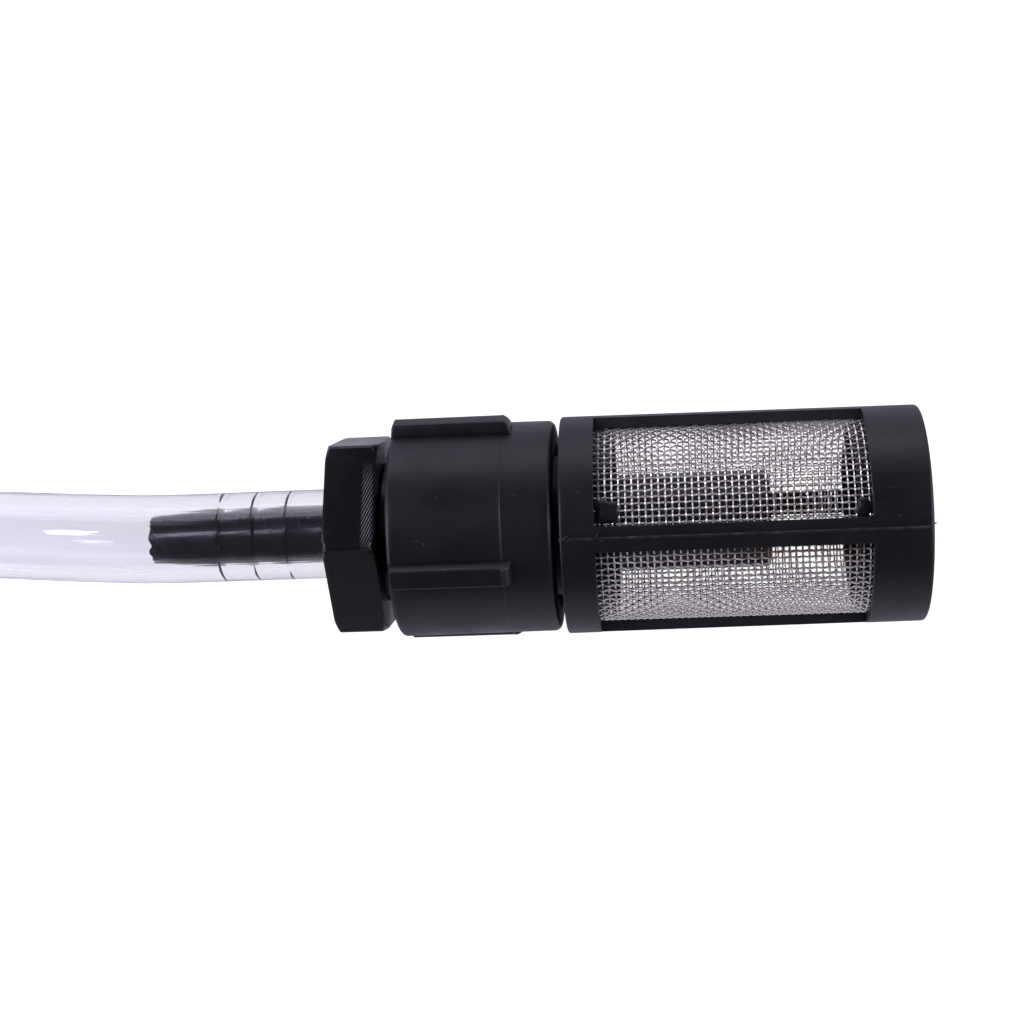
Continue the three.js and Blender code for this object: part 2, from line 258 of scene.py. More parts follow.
studio = {
    "floorReach": 3, "floorDrop": 0.05 * mm,  # its half side in m, and its distance under the object
    "paper": "#b4b4b8", "seenGlow": 0.96, "throughGlow": 0.62, "paperGlow": 0.36, "bounce": "#e6e4f6",
    "sky": "#e2e3f8", "skySeen": 1.05, "skyGlow": 0.125, "lampColour": "#ecebff",
    "lamps": [  # place and size in mm, power in W
        {"name": "softboxFar", "at": (0, 400, 110), "size": (700, 190), "power": 0.72},
        {"name": "softboxNear", "at": (40, -400, 50), "size": (620, 160), "power": 0.12},
        {"name": "softboxLeft", "at": (-420, 0, 190), "size": (320, 240), "power": 1.15},
        {"name": "softboxRight", "at": (440, 0, 190), "size": (320, 240), "power": 1.15},
        {"name": "softboxHigh", "at": (-250, 125, 420), "size": (55, 55), "power": 0.3},
    ],
}


def addStudio(s):
    reach = s["floorReach"]
    corners = [(-reach, -reach, 0), (reach, -reach, 0), (reach, reach, 0), (-reach, reach, 0)]
    floorMesh = meshFrom("floor", corners, [(0, 1, 2, 3)])
    # matt white paper on a light table, lit until it is pure white
    material, tree = newMaterial("paperBackdrop")
    path = addNode(tree, "ShaderNodeLightPath").outputs
    glow = addNode(tree, "ShaderNodeMapRange", None, {
        "Value": path["Is Camera Ray"], "To Min": s["paperGlow"], "To Max": s["seenGlow"]})
    through = addNode(tree, "ShaderNodeMath", {"operation": "MULTIPLY_ADD"}, {
        0: path["Is Transmission Ray"], 1: s["throughGlow"] - s["paperGlow"], 2: glow.outputs[0]})
    direct = addNode(tree, "ShaderNodeMath", {"operation": "MAXIMUM"}, {
        0: path["Is Camera Ray"], 1: path["Is Transmission Ray"]})
    tint = addNode(tree, "ShaderNodeMix", {"data_type": "RGBA"}, {
        0: direct.outputs[0], 6: linear(s["bounce"]), 7: linear("#ffffff")})
    paper = addNode(tree, "ShaderNodeBsdfPrincipled", None, {
        "Base Color": linear(s["paper"]), "Roughness": 0.9, "Specular IOR Level": 0.1,
        "Emission Color": tint.outputs[2],
        "Emission Strength": through.outputs[0]})
    closeMaterial(tree, paper.outputs[0])
    floor = newPiece("floor", floorMesh, material)
    floor.location.z = -s["floorDrop"]
    world = bpy.data.worlds.new("studioWorld")
    world.use_nodes = True
    sky = world.node_tree
    background = sky.nodes["Background"]
    background.inputs["Color"].default_value = linear(s["sky"])
    level = addNode(sky, "ShaderNodeMapRange", None, {
        "Value": addNode(sky, "ShaderNodeLightPath").outputs["Is Camera Ray"],
        "To Min": s["skyGlow"], "To Max": s["skySeen"]})
    sky.links.new(level.outputs[0], background.inputs["Strength"])
    bpy.context.scene.world = world
    for lamp in s["lamps"]:
        data = bpy.data.lights.new(lamp["name"], "AREA")
        data.shape = "RECTANGLE"
        data.size, data.size_y = (side * mm for side in lamp["size"])
        data.energy = lamp["power"]
        data.color = linear(s["lampColour"])[:3]
        light = bpy.data.objects.new(lamp["name"], data)
        spot = Vector(lamp["at"]) * mm
        aim = Vector((10 * mm, 0, axisZ))
        turned = (spot - aim).to_track_quat("Z", "Y").to_matrix().to_4x4()
        light.matrix_world = Matrix.Translation(spot) @ turned
        bpy.context.scene.collection.objects.link(light)
    bpy.context.scene.view_settings.view_transform = "Standard"


addStudio(studio)
print("camera and studio are set")


# ---- materials

# what shows on used black plastic, from its lighter edges (partly rubbed wear, partly a painted highlight) to
# the cuts of a tool
wearAndHighlightColours = {"wornEdgeAndHighlight": "#46464c", "drag": "#4a4a50", "dust": "#6c6c72", "cut": "#85858a"}


def mouldedPlastic(name, colour, worn, roughness, grain, dust=0.5, hatch=None):
    # Injection-moulded polypropylene or acetal: deep black with a fine satin grain, pale dust in the
    # grain, faint drag marks along the axis, and edges a little lighter: partly rubbed wear, partly a painted
    # highlight
    material, tree = newMaterial(name)
    place = addNode(tree, "ShaderNodeTexCoord").outputs["Object"]
    grit = addNode(tree, "ShaderNodeTexNoise", None, {
        "Vector": place, "Scale": 1 / (grain * mm), "Detail": 3, "Roughness": 0.6})  # grain size in mm
    cloud = addNode(tree, "ShaderNodeTexNoise", None, {
        "Vector": place, "Scale": 1 / (6 * mm), "Detail": 5, "Roughness": 0.6})  # handling marks, 6 mm
    specks = addNode(tree, "ShaderNodeTexVoronoi", {"feature": "F1"}, {
        "Vector": place, "Scale": 1 / (0.9 * mm), "Randomness": 1.0})  # a place for dust every 0.9 mm
    size = addNode(tree, "ShaderNodeSeparateColor", None, {"Color": specks.outputs["Color"]}).outputs[0]
    reach = addNode(tree, "ShaderNodeMapRange", None, {
        "Value": size, "From Min": 0.6, "From Max": 1.0, "To Min": -0.05, "To Max": 0.13}).outputs[0]
    dots = addNode(tree, "ShaderNodeMapRange", None, {
        "Value": addNode(tree, "ShaderNodeMath", {"operation": "SUBTRACT"}, {
            0: reach, 1: specks.outputs["Distance"]}).outputs[0],
        "From Min": -0.02, "From Max": 0.02, "To Max": dust})
    stretched = addNode(tree, "ShaderNodeMapping", None, {"Vector": place, "Scale": (0.12, 1.0, 1.0)})
    drag = addNode(tree, "ShaderNodeTexNoise", None, {
        "Vector": stretched.outputs[0], "Scale": 1 / (0.35 * mm), "Detail": 3})  # hair-fine drag marks
    hairs = addNode(tree, "ShaderNodeMapRange", None, {
        "Value": drag.outputs["Fac"], "From Min": 0.66, "From Max": 0.76, "To Max": dust * 0.5})
    # convex edges, the flash ridge among them, are painted lighter: partly rubbed wear, partly a painted
    # highlight
    edges = addNode(tree, "ShaderNodeNewGeometry").outputs["Pointiness"]
    wornEdgeAndHighlight = addNode(tree, "ShaderNodeMapRange", None, {
        "Value": edges, "From Min": 0.53, "From Max": 0.61, "To Min": 0.0, "To Max": 0.6})
    base = addNode(tree, "ShaderNodeMix", {"data_type": "RGBA"}, {
        0: cloud.outputs["Fac"], 6: linear(colour), 7: linear(worn)}).outputs[2]
    base = addNode(tree, "ShaderNodeMix", {"data_type": "RGBA"}, {
        0: wornEdgeAndHighlight.outputs[0], 6: base, 7: linear(wearAndHighlightColours["wornEdgeAndHighlight"])}).outputs[2]
    base = addNode(tree, "ShaderNodeMix", {"data_type": "RGBA"}, {
        0: hairs.outputs[0], 6: base, 7: linear(wearAndHighlightColours["drag"])}).outputs[2]
    base = addNode(tree, "ShaderNodeMix", {"data_type": "RGBA"}, {
        0: dots.outputs[0], 6: base, 7: linear(wearAndHighlightColours["dust"])}).outputs[2]
    rough = addNode(tree, "ShaderNodeMapRange", None, {
        "Value": cloud.outputs["Fac"], "From Min": 0.3, "From Max": 0.7,
        "To Min": roughness - 0.06, "To Max": roughness + 0.08})
    bump = addNode(tree, "ShaderNodeBump", None, {
        "Height": grit.outputs["Fac"], "Strength": 0.3, "Distance": 0.03 * mm})
    normal = bump.outputs[0]
    if hatch:
        # a band of short slanting cuts left by a tool's jaw, beside the hexagon's far edge
        apart = addNode(tree, "ShaderNodeSeparateXYZ", None, {"Vector": place}).outputs
        fades = []
        for axis, (low, high, soft) in (("X", hatch["alongX"]), ("Y", hatch["alongY"])):
            rise = addNode(tree, "ShaderNodeMapRange", None, {
                "Value": apart[axis], "From Min": low, "From Max": low + soft}).outputs[0]
            fall = addNode(tree, "ShaderNodeMapRange", None, {
                "Value": apart[axis], "From Min": high - soft, "From Max": high,
                "To Min": 1.0, "To Max": 0.0})
            fades.append(addNode(tree, "ShaderNodeMath", {"operation": "MULTIPLY"}, {
                0: rise, 1: fall.outputs[0]}))
        patch = addNode(tree, "ShaderNodeMath", {"operation": "MULTIPLY"}, {
            0: fades[0].outputs[0], 1: fades[1].outputs[0]})
        slant = addNode(tree, "ShaderNodeMapping", None, {
            "Vector": place, "Rotation": (0.0, 0.0, hatch["turn"])})
        lines = addNode(tree, "ShaderNodeTexWave", {"wave_type": "BANDS", "bands_direction": "X"}, {
            "Vector": slant.outputs[0], "Scale": 1 / (hatch["pitch"] * mm) / 3.2, "Distortion": 1.2,
            "Detail": 2, "Detail Scale": 30})
        uneven = addNode(tree, "ShaderNodeMath", {"operation": "MULTIPLY"}, {
            0: patch.outputs[0], 1: cloud.outputs["Fac"]}).outputs[0]
        cuts = addNode(tree, "ShaderNodeMapRange", None, {
            "Value": lines.outputs["Fac"], "From Min": 0.7, "From Max": 0.92, "To Max": 2.2})
        marks = addNode(tree, "ShaderNodeMath", {"operation": "MULTIPLY"}, {0: cuts.outputs[0], 1: uneven})
        base = addNode(tree, "ShaderNodeMix", {"data_type": "RGBA"}, {
            0: marks.outputs[0], 6: base, 7: linear(wearAndHighlightColours["cut"])}).outputs[2]
        normal = addNode(tree, "ShaderNodeBump", {"invert": True}, {
            "Height": marks.outputs[0], "Strength": 0.5, "Distance": 0.05 * mm, "Normal": normal}).outputs[0]
    shader = addNode(tree, "ShaderNodeBsdfPrincipled", None, {
        "Base Color": base, "Roughness": rough.outputs[0], "IOR": 1.49, "Specular IOR Level": 0.45,
        "Normal": normal})
    closeMaterial(tree, shader.outputs[0])
    return material


def drawnSteel(name, colour, roughness, rust=None):
    # Drawn stainless wire: bright grey metal with fine marks along it, tea-stained where rust is given
    material, tree = newMaterial(name)
    place = addNode(tree, "ShaderNodeTexCoord").outputs["Object"]
    marks = addNode(tree, "ShaderNodeTexNoise", None, {
        "Vector": place, "Scale": 1 / (0.9 * mm), "Detail": 3})  # dull and bright stretches about 1 mm long
    base = addNode(tree, "ShaderNodeMix", {"data_type": "RGBA"}, {
        0: marks.outputs["Fac"], 6: linear(colour), 7: linear("#ffffff")}).outputs[2]
    if rust:
        far = addNode(tree, "ShaderNodeVectorMath", {"operation": "SUBTRACT"}, {0: place, 1: rust["at"]})
        shrunk = addNode(tree, "ShaderNodeVectorMath", {"operation": "DIVIDE"}, {
            0: far.outputs[0], 1: rust["reach"]})
        away = addNode(tree, "ShaderNodeVectorMath", {"operation": "LENGTH"}, {0: shrunk.outputs[0]})
        stain = addNode(tree, "ShaderNodeMapRange", None, {
            "Value": away.outputs["Value"], "From Min": 0.5, "From Max": 1.0, "To Min": 0.6, "To Max": 0.0})
        base = addNode(tree, "ShaderNodeMix", {"data_type": "RGBA"}, {
            0: stain.outputs[0], 6: base, 7: linear("#8a5233")}).outputs[2]
    rough = addNode(tree, "ShaderNodeMapRange", None, {
        "Value": marks.outputs["Fac"], "To Min": roughness - 0.07, "To Max": roughness + 0.1})
    shader = addNode(tree, "ShaderNodeBsdfPrincipled", None, {
        "Base Color": base, "Metallic": 1.0, "Roughness": rough.outputs[0]})
    closeMaterial(tree, shader.outputs[0])
    return material


def softRubber(name, colour, roughness):
    # Moulded rubber: matt black with a dusty bloom
    material, tree = newMaterial(name)
    place = addNode(tree, "ShaderNodeTexCoord").outputs["Object"]
    bloom = addNode(tree, "ShaderNodeTexNoise", None, {
        "Vector": place, "Scale": 1 / (1.2 * mm), "Detail": 4})  # bloom in patches of about a millimetre
    base = addNode(tree, "ShaderNodeMix", {"data_type": "RGBA"}, {
        0: bloom.outputs["Fac"], 6: linear(colour), 7: linear("#2c2c2d")}).outputs[2]
    bump = addNode(tree, "ShaderNodeBump", None, {
        "Height": bloom.outputs["Fac"], "Strength": 0.2, "Distance": 0.05 * mm})
    shader = addNode(tree, "ShaderNodeBsdfPrincipled", None, {
        "Base Color": base, "Roughness": roughness, "IOR": 1.52, "Normal": bump.outputs[0]})
    closeMaterial(tree, shader.outputs[0])
    return material


def clearVinyl(name):
    # Extruded plasticised PVC: clear with a faint lilac cast and long draw lines from the die
    material, tree = newMaterial(name)
    around = addNode(tree, "ShaderNodeTexCoord").outputs["UV"]
    stretched = addNode(tree, "ShaderNodeMapping", None, {"Vector": around, "Scale": (1.0, 0.02, 1.0)})
    draw = addNode(tree, "ShaderNodeTexNoise", None, {
        "Vector": stretched.outputs[0], "Scale": 1.6, "Detail": 3, "Roughness": 0.5})  # UV is in mm
    bump = addNode(tree, "ShaderNodeBump", None, {
        "Height": draw.outputs["Fac"], "Strength": 0.35, "Distance": 0.08 * mm})
    glass = addNode(tree, "ShaderNodeBsdfPrincipled", None, {
        "Base Color": linear("#f9f8fb"), "Roughness": 0.02, "IOR": 1.53, "Transmission Weight": 1.0,
        "Normal": bump.outputs[0]})
    # lamps shine through, as they do through the real one
    passing = addNode(tree, "ShaderNodeBsdfTransparent", None, {"Color": linear("#f3f0f7")})
    path = addNode(tree, "ShaderNodeLightPath")
    mix = addNode(tree, "ShaderNodeMixShader", None, {0: path.outputs["Is Shadow Ray"]})
    tree.links.new(glass.outputs[0], mix.inputs[1])
    tree.links.new(passing.outputs[0], mix.inputs[2])
    closeMaterial(tree, mix.outputs[0])
    return material


def naturalNylon(name):
    # Injection-moulded nylon 6.6: milky and slightly see-through, satin
    material, tree = newMaterial(name)
    place = addNode(tree, "ShaderNodeTexCoord").outputs["Object"]
    cloud = addNode(tree, "ShaderNodeTexNoise", None, {"Vector": place, "Scale": 1 / (4 * mm), "Detail": 3})
    base = addNode(tree, "ShaderNodeMix", {"data_type": "RGBA"}, {
        0: cloud.outputs["Fac"], 6: linear("#e9e5da"), 7: linear("#d9d4c6")}).outputs[2]
    shader = addNode(tree, "ShaderNodeBsdfPrincipled", None, {
        "Base Color": base, "Roughness": 0.42, "IOR": 1.53, "Subsurface Weight": 0.25,
        "Subsurface Scale": 1.5 * mm})
    closeMaterial(tree, shader.outputs[0])
    return material


blackPlastic = mouldedPlastic("mouldedPolypropylene", "#0f0f14", "#17171c", 0.42, 0.12)
fittingPlastic = mouldedPlastic(
    "mouldedPolypropyleneScuffed", "#08080d", "#101016", 0.24, 0.2, dust=0.35,
    hatch={"alongX": (hexFaceX + 4.9 * mm, hexFaceX + 6.55 * mm, 0.4 * mm),
           "alongY": (-2.5 * mm, 9.5 * mm, 3 * mm), "pitch": 0.32, "turn": 0.45})
valvePlastic = mouldedPlastic("mouldedAcetal", "#08080a", "#0f0f12", 0.26, 0.4, dust=0.2)
screenSteel = drawnSteel("wovenStainless", "#f8ecdb", 0.29, rust={
    "at": placed(60, 12.6, -17.5), "reach": (13 * mm, 1.6 * mm, 4 * mm)})
springSteel = drawnSteel("springStainless", "#b5b3b0", 0.24)
washerRubber = softRubber("nitrileWasher", "#161617", 0.75)
sealRubber = softRubber("nitrileSeal", "#101011", 0.5)
clearHose = clearVinyl("clearPvc")
tieNylon = naturalNylon("naturalNylon")
print("materials are made")


# ---- hose: one clear tube from the barb, down to the surface and into its tied coil

hoseSizes = {
    "outer": 6 * mm, "bore": 4 * mm, "length": 1.524, "sides": 48, "spacing": 3 * mm,
    "coilX": -0.155, "coilY": -0.065, "outerTurn": 0.066, "innerTurn": 0.054, "low": 0.0076, "layer": 0.012,
}

# the way out to the coil, and from the coil to the free end
routeOut = [
    (-0.02580, 0, 0.01479), (-0.034, 0, 0.01479), (-0.042, 0, 0.01479), (-0.049, 0.00003, 0.01479),
    (-0.054, 0.00018, 0.01478), (-0.060, 0.00052, 0.01463), (-0.066, 0.00092, 0.01418),
    (-0.072, 0.00133, 0.01342), (-0.078, 0.00165, 0.01242), (-0.084, 0.00184, 0.01128),
    (-0.090, 0.00188, 0.01013), (-0.096, 0.00178, 0.0091), (-0.102, 0.00158, 0.0083),
    (-0.108, 0.00136, 0.00783), (-0.114, 0.00117, 0.00763), (-0.124, 0.00102, 0.0076),
    (-0.138, 0.001, 0.0076),
]
routeEnd = [
    (-0.140, -0.131, 0.0196), (-0.134, -0.131, 0.0196), (-0.128, -0.131, 0.01926), (-0.122, -0.131, 0.01826),
    (-0.116, -0.131, 0.01671), (-0.110, -0.131, 0.01476), (-0.104, -0.131, 0.01262), (-0.098, -0.131, 0.0105),
    (-0.092, -0.131, 0.0086), (-0.086, -0.131, 0.00713), (-0.080, -0.131, 0.00624), (-0.076, -0.131, 0.006),
    (-0.073, -0.131, 0.006),
]


def coilPoints(h):
    # three and a half turns: outer below, inner below, inner above, outer above; each change of turn is eased
    points = []
    first, turned, steps = 90, 1260, 84
    for i in range(steps + 1):
        angle = first + turned * i / steps
        inward = ease((angle - 340) / 110) - ease((angle - 990) / 110)
        r = h["outerTurn"] - (h["outerTurn"] - h["innerTurn"]) * inward
        z = h["low"] + h["layer"] * ease((angle - 660) / 110)
        a = math.radians(angle)
        points.append((h["coilX"] + r * math.cos(a), h["coilY"] + r * math.sin(a), z))
    return points


def makeHose(h):
    line, length = smoothLine(routeOut + coilPoints(h) + routeEnd, h["spacing"])
    outer = sweptRings(line, h["outer"], h["sides"])
    bore = sweptRings(line, h["bore"], h["sides"])
    points = [p for ring in outer + bore for p in ring]
    sides, count = h["sides"], len(line)
    faces = []
    for i in range(count - 1):
        for j in range(sides):
            k = (j + 1) % sides
            a, b = i * sides, (i + 1) * sides
            faces.append((a + j, a + k, b + k, b + j))
            inner = count * sides
            faces.append((inner + a + j, inner + b + j, inner + b + k, inner + a + k))
    for i, turn in ((0, -1), (count - 1, 1)):
        for j in range(sides):
            k = (j + 1) % sides
            a, b = i * sides, (count + i) * sides
            faces.append((a + j, a + k, b + k, b + j)[::turn])
    mesh = bpy.data.meshes.new("clearHose")
    mesh.from_pydata(points, [], faces)
    uv = mesh.uv_layers.new(name="UVMap")
    step = length / (count - 1)
    around = 2 * math.pi * h["outer"]
    for face in mesh.polygons:
        rows = [(mesh.loops[i].vertex_index % (count * sides)) // sides for i in face.loop_indices]
        columns = [mesh.loops[i].vertex_index % sides for i in face.loop_indices]
        wraps = max(columns) - min(columns) > sides / 2
        for i, row, column in zip(face.loop_indices, rows, columns):
            turn = column + sides if wraps and column < sides / 2 else column
            uv.data[i].uv = (turn / sides * around / mm, row * step / mm)
    piece = newPiece("clearHose", mesh, clearHose, 60)
    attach(piece, "hose_and_fitting")
    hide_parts("hose_on_barb", "hose_run", "hose_coil", "hose_free_end")
    print(f"hose is {length:.4f} m")
    return piece, line


tieSizes = {
    "width": 4.8 * mm, "thickness": 1.3 * mm, "slack": 0.05 * mm, "tailTo": 30 * mm, "tailDrop": 1.2 * mm,
    "head": (56 * mm, 64 * mm), "headMiddle": 1.7 * mm, "headHeight": 4.4 * mm, "headWider": 2 * mm,
    "headBevel": 0.7 * mm, "tailInHead": 1 * mm,
}
tieDegrees = (100, 260)  # where round the coil each tie is


def makeTie(name, node, degrees, t, h):
    # a cable tie pulled round the four strands: its loop, its ratchet head on top, and the tail it leaves
    radii = (h["innerTurn"], h["outerTurn"])
    heights = (h["low"], h["low"] + h["layer"])
    corners = [(radii[1], heights[0], -90), (radii[1], heights[1], 0), (radii[0], heights[1], 90),
               (radii[0], heights[0], 180)]
    loop = []
    for x, y, start in corners:
        for i in range(9):
            a = math.radians(start + 90 * i / 8)
            loop.append((x, y, math.cos(a), math.sin(a)))
    turn = Matrix.Translation((h["coilX"], h["coilY"], 0)) @ Matrix.Rotation(math.radians(degrees), 4, "Z")
    half = t["width"] / 2
    inside, outside = h["outer"] + t["slack"], h["outer"] + t["thickness"]
    points, faces = [], []
    for x, y, cx, cy in loop:
        for reach, side in ((inside, -half), (outside, -half), (outside, half), (inside, half)):
            points.append(turn @ Vector((x + reach * cx, side, y + reach * cy)))
    for i in range(len(loop)):
        k = (i + 1) % len(loop)
        for s in range(4):
            n = (s + 1) % 4
            faces.append((4 * i + s, 4 * i + n, 4 * k + n, 4 * k + s))
    band = meshFrom(name + "Band", points, faces)

    top = heights[1] + outside
    work = bmesh.new()
    x0, x1 = t["head"]
    middle = Matrix.Translation(((x0 + x1) / 2, 0, top + t["headMiddle"]))
    stretch = Matrix.Diagonal((x1 - x0, t["width"] + t["headWider"], t["headHeight"], 1))
    bmesh.ops.create_cube(work, size=1, matrix=middle @ stretch)
    bmesh.ops.bevel(work, geom=work.edges[:], offset=t["headBevel"], segments=3, profile=0.6, affect="EDGES")
    bmesh.ops.transform(work, matrix=turn, verts=work.verts)
    head = bpy.data.meshes.new(name + "Head")
    work.to_mesh(head)
    work.free()

    length = x0 + t["tailInHead"] - t["tailTo"]
    steps = 24
    points, faces = [], []
    for i in range(steps + 1):
        s = i / steps
        x = x0 + t["tailInHead"] - s * length
        z = top + t["tailDrop"] - t["tailDrop"] * s * s
        narrow = 1 - 0.45 * max(0, (s - 0.8) / 0.2)
        for side, rise in ((-1, 0), (1, 0), (1, 1), (-1, 1)):
            points.append(turn @ Vector((x, side * half * narrow, z + rise * t["thickness"])))
    for i in range(steps):
        for s in range(4):
            n = (s + 1) % 4
            faces.append((4 * i + s, 4 * i + n, 4 * i + 4 + n, 4 * i + 4 + s))
    faces += [(0, 1, 2, 3), tuple(4 * steps + s for s in (3, 2, 1, 0))]
    tail = meshFrom(name + "Tail", points, faces)

    work = bmesh.new()
    for mesh in (band, head, tail):
        work.from_mesh(mesh)
    whole = bpy.data.meshes.new(name)
    work.to_mesh(whole)
    work.free()
    piece = newPiece(name, whole, tieNylon)
    standFor(piece, "hose_and_fitting", node)
    return piece


hosePiece, hoseLine = makeHose(hoseSizes)
ties = [makeTie(f"cableTie{i + 1}", f"coil_tie_{i + 1}", degrees, tieSizes, hoseSizes)
        for i, degrees in enumerate(tieDegrees)]
print("hose and ties are laid")


# ---- screw threads: half-inch pipe thread, wound right-handed on turned pieces

threadForm = {"pitch": 1.814, "halfCrest": 0.175, "flank": 0.52, "fade": 0.15, "row": 0.11}
threadAt = {
    "fittingMale": {"start": 7.9, "turns": 2.75, "root": 9.2, "crest": 10.25},
    "couplingHose": {"start": 8.807, "turns": 2.75, "root": 10.6, "crest": 9.45},
    "couplingStrainer": {"start": 23.507, "turns": 3.25, "root": 10.6, "crest": 9.45},
    "cageMale": {"start": 22.6, "turns": 3.25, "root": 9.2, "crest": 10.25},
}


def threadRadius(kind, u, angle):
    f, t = threadForm, threadAt[kind]
    along = (u - t["start"]) / f["pitch"] + angle / 360
    turn = round(along)
    fall = max(0.0, abs(along - turn) * f["pitch"] - f["halfCrest"]) / f["flank"]
    height = max(0.0, abs(t["crest"] - t["root"]) - fall)
    wound = turn - angle / 360
    fade = min(1, max(0, wound / f["fade"]), max(0, (t["turns"] - wound) / f["fade"]))
    return t["root"] + math.copysign(height * fade, t["crest"] - t["root"])


def threadRows(kind, u0, u1):
    # rows close enough to draw the thread's flanks
    count = max(1, round(abs(u1 - u0) / threadForm["row"]))
    return [(u0 + (u1 - u0) * i / count, threadAt[kind]["root"], 0, kind) for i in range(count + 1)]


# ---- barb fitting: barb, hexagon and male thread in one moulding

fittingSizes = {
    "tip": -25.2, "tipRadius": 3.15, "ridges": (-15.8, -11.2, -6.6), "ridgeRadius": 4.02, "neckRadius": 3.5,
    "shankRadius": 3.8, "bore": 2.1, "hexEnd": 6.7, "hexAcross": 24.6, "hexCorner": -7, "cornerRound": 0.55,
    "neckEnd": 7.4, "stubEnd": 13.3, "chamber": 6.5, "chamberFrom": 2.6,
}


def hexRadius(f, angle):
    # distance to a hexagon with rounded corners
    flat = f["hexAcross"] / 2
    away = (angle - f["hexCorner"] + 30) % 60 - 30  # from the nearest corner
    centre = (flat - f["cornerRound"]) / math.cos(math.radians(30))
    a = math.radians(abs(away))
    inArc = centre * math.sin(a)
    if inArc < f["cornerRound"]:
        r = centre * math.cos(a) + math.sqrt(f["cornerRound"] ** 2 - inArc ** 2)
        if math.atan2(r * math.sin(a), r * math.cos(a) - centre) <= math.radians(30):
            return r
    return flat / math.cos(math.radians(30) - a)


def makeFitting(f):
    hexRows = [0.0, 0.12, 0.3, 0.55, 0.85, 1.2, 2.2, 3.35, 4.5, 5.5, 5.85, 6.15, 6.4, 6.58, 6.7]
    corners = [(f["tip"], f["bore"], 0.15, "tip"), (f["tip"], f["tipRadius"], 0.2, "tip")]
    corners += [(f["tip"] + d, f["tipRadius"] + 0.093 * d, 0) for d in (0.9, 1.3, 3, 5, 7, 8.5)]
    for k, ridge in enumerate(f["ridges"]):
        last = k == len(f["ridges"]) - 1
        corners += [(ridge - 0.12, f["ridgeRadius"], 0), (ridge, f["ridgeRadius"], 0),
                    (ridge + 0.25, f["shankRadius"] if last else f["neckRadius"], 0.1)]
    corners += [(-0.35, f["shankRadius"], 0), (-0.1, f["shankRadius"] + 0.08, 0),
                (0, f["shankRadius"] + 0.4, 0)]
    corners += [(0, r, 0, "hexFace") for r in (8, 10.5, 11.8)]
    corners += [(u, f["hexAcross"] / 2, 0, "hex") for u in hexRows]
    corners += [(f["hexEnd"], 11.4, 0, "hexFace"), (f["hexEnd"], 9.5, 0), (f["hexEnd"] + 0.25, 9.2, 0)]
    corners += threadRows("fittingMale", f["neckEnd"], f["stubEnd"] - 0.35)
    corners += [(f["stubEnd"], 8.75, 0), (f["stubEnd"], f["chamber"], 0.25),
                (f["chamberFrom"], f["chamber"], 0.4),
                (f["chamberFrom"], f["bore"], 0.2)]

    def shape(u, r, tag, angle):
        if tag == "hex":
            # the corners are cut back by a cone at each face, as a turned hexagon is
            end = min(u, f["hexEnd"] - u)
            r = min(hexRadius(f, angle), 13.35 + end * 1.5) - 0.12 * max(0, 1 - end / 0.3) ** 2
        elif tag == "tip":
            turned = Vector((math.sin(math.radians(angle)), math.cos(math.radians(angle)), 0))
            chipped = noise.noise(turned * 2.1) + 0.6 * noise.noise(turned * 6.3)
            u += 0.45 * chipped * (r > 2.5)
        elif tag in threadAt:
            r = threadRadius(tag, u, angle)
        elif tag is None and u < -1 and r > 3.3:
            a = math.radians(angle)
            r += 0.05 * noise.noise(Vector((u * 0.5, math.sin(a), math.cos(a))))
            r = min(r, f["ridgeRadius"])
        return u, r, angle

    besideCorner = (-2.4, -1.6, -0.8, 0, 0.8, 1.6, 2.4)
    hexCorners = [f["hexCorner"] + 60 * k + d for k in range(6) for d in besideCorner]
    angles = evenAngles(120, hexCorners)
    piece = turnedPiece("barbMoulding", rounded(corners), fittingPlastic, angles, shape, 25)
    standFor(piece, "hose_and_fitting", "barb_fitting")


makeFitting(fittingSizes)
print("barb fitting is moulded")


# ---- coupling: round nut with four grip ribs and a socket at each end

couplingSizes = {
    "from": 8.2, "to": 29.45, "hoseRadius": 14.1, "strainerRadius": 13.95, "edge": 0.9,
    "shoulder": (15.9, 17.7), "hole": 5.5, "line": 22.95,
    "ribs": 4, "firstRib": -23.6, "ribRadius": 15.6, "ribTop": 4.1, "ribBase": 6.6, "ribEnd": 24.1,
}


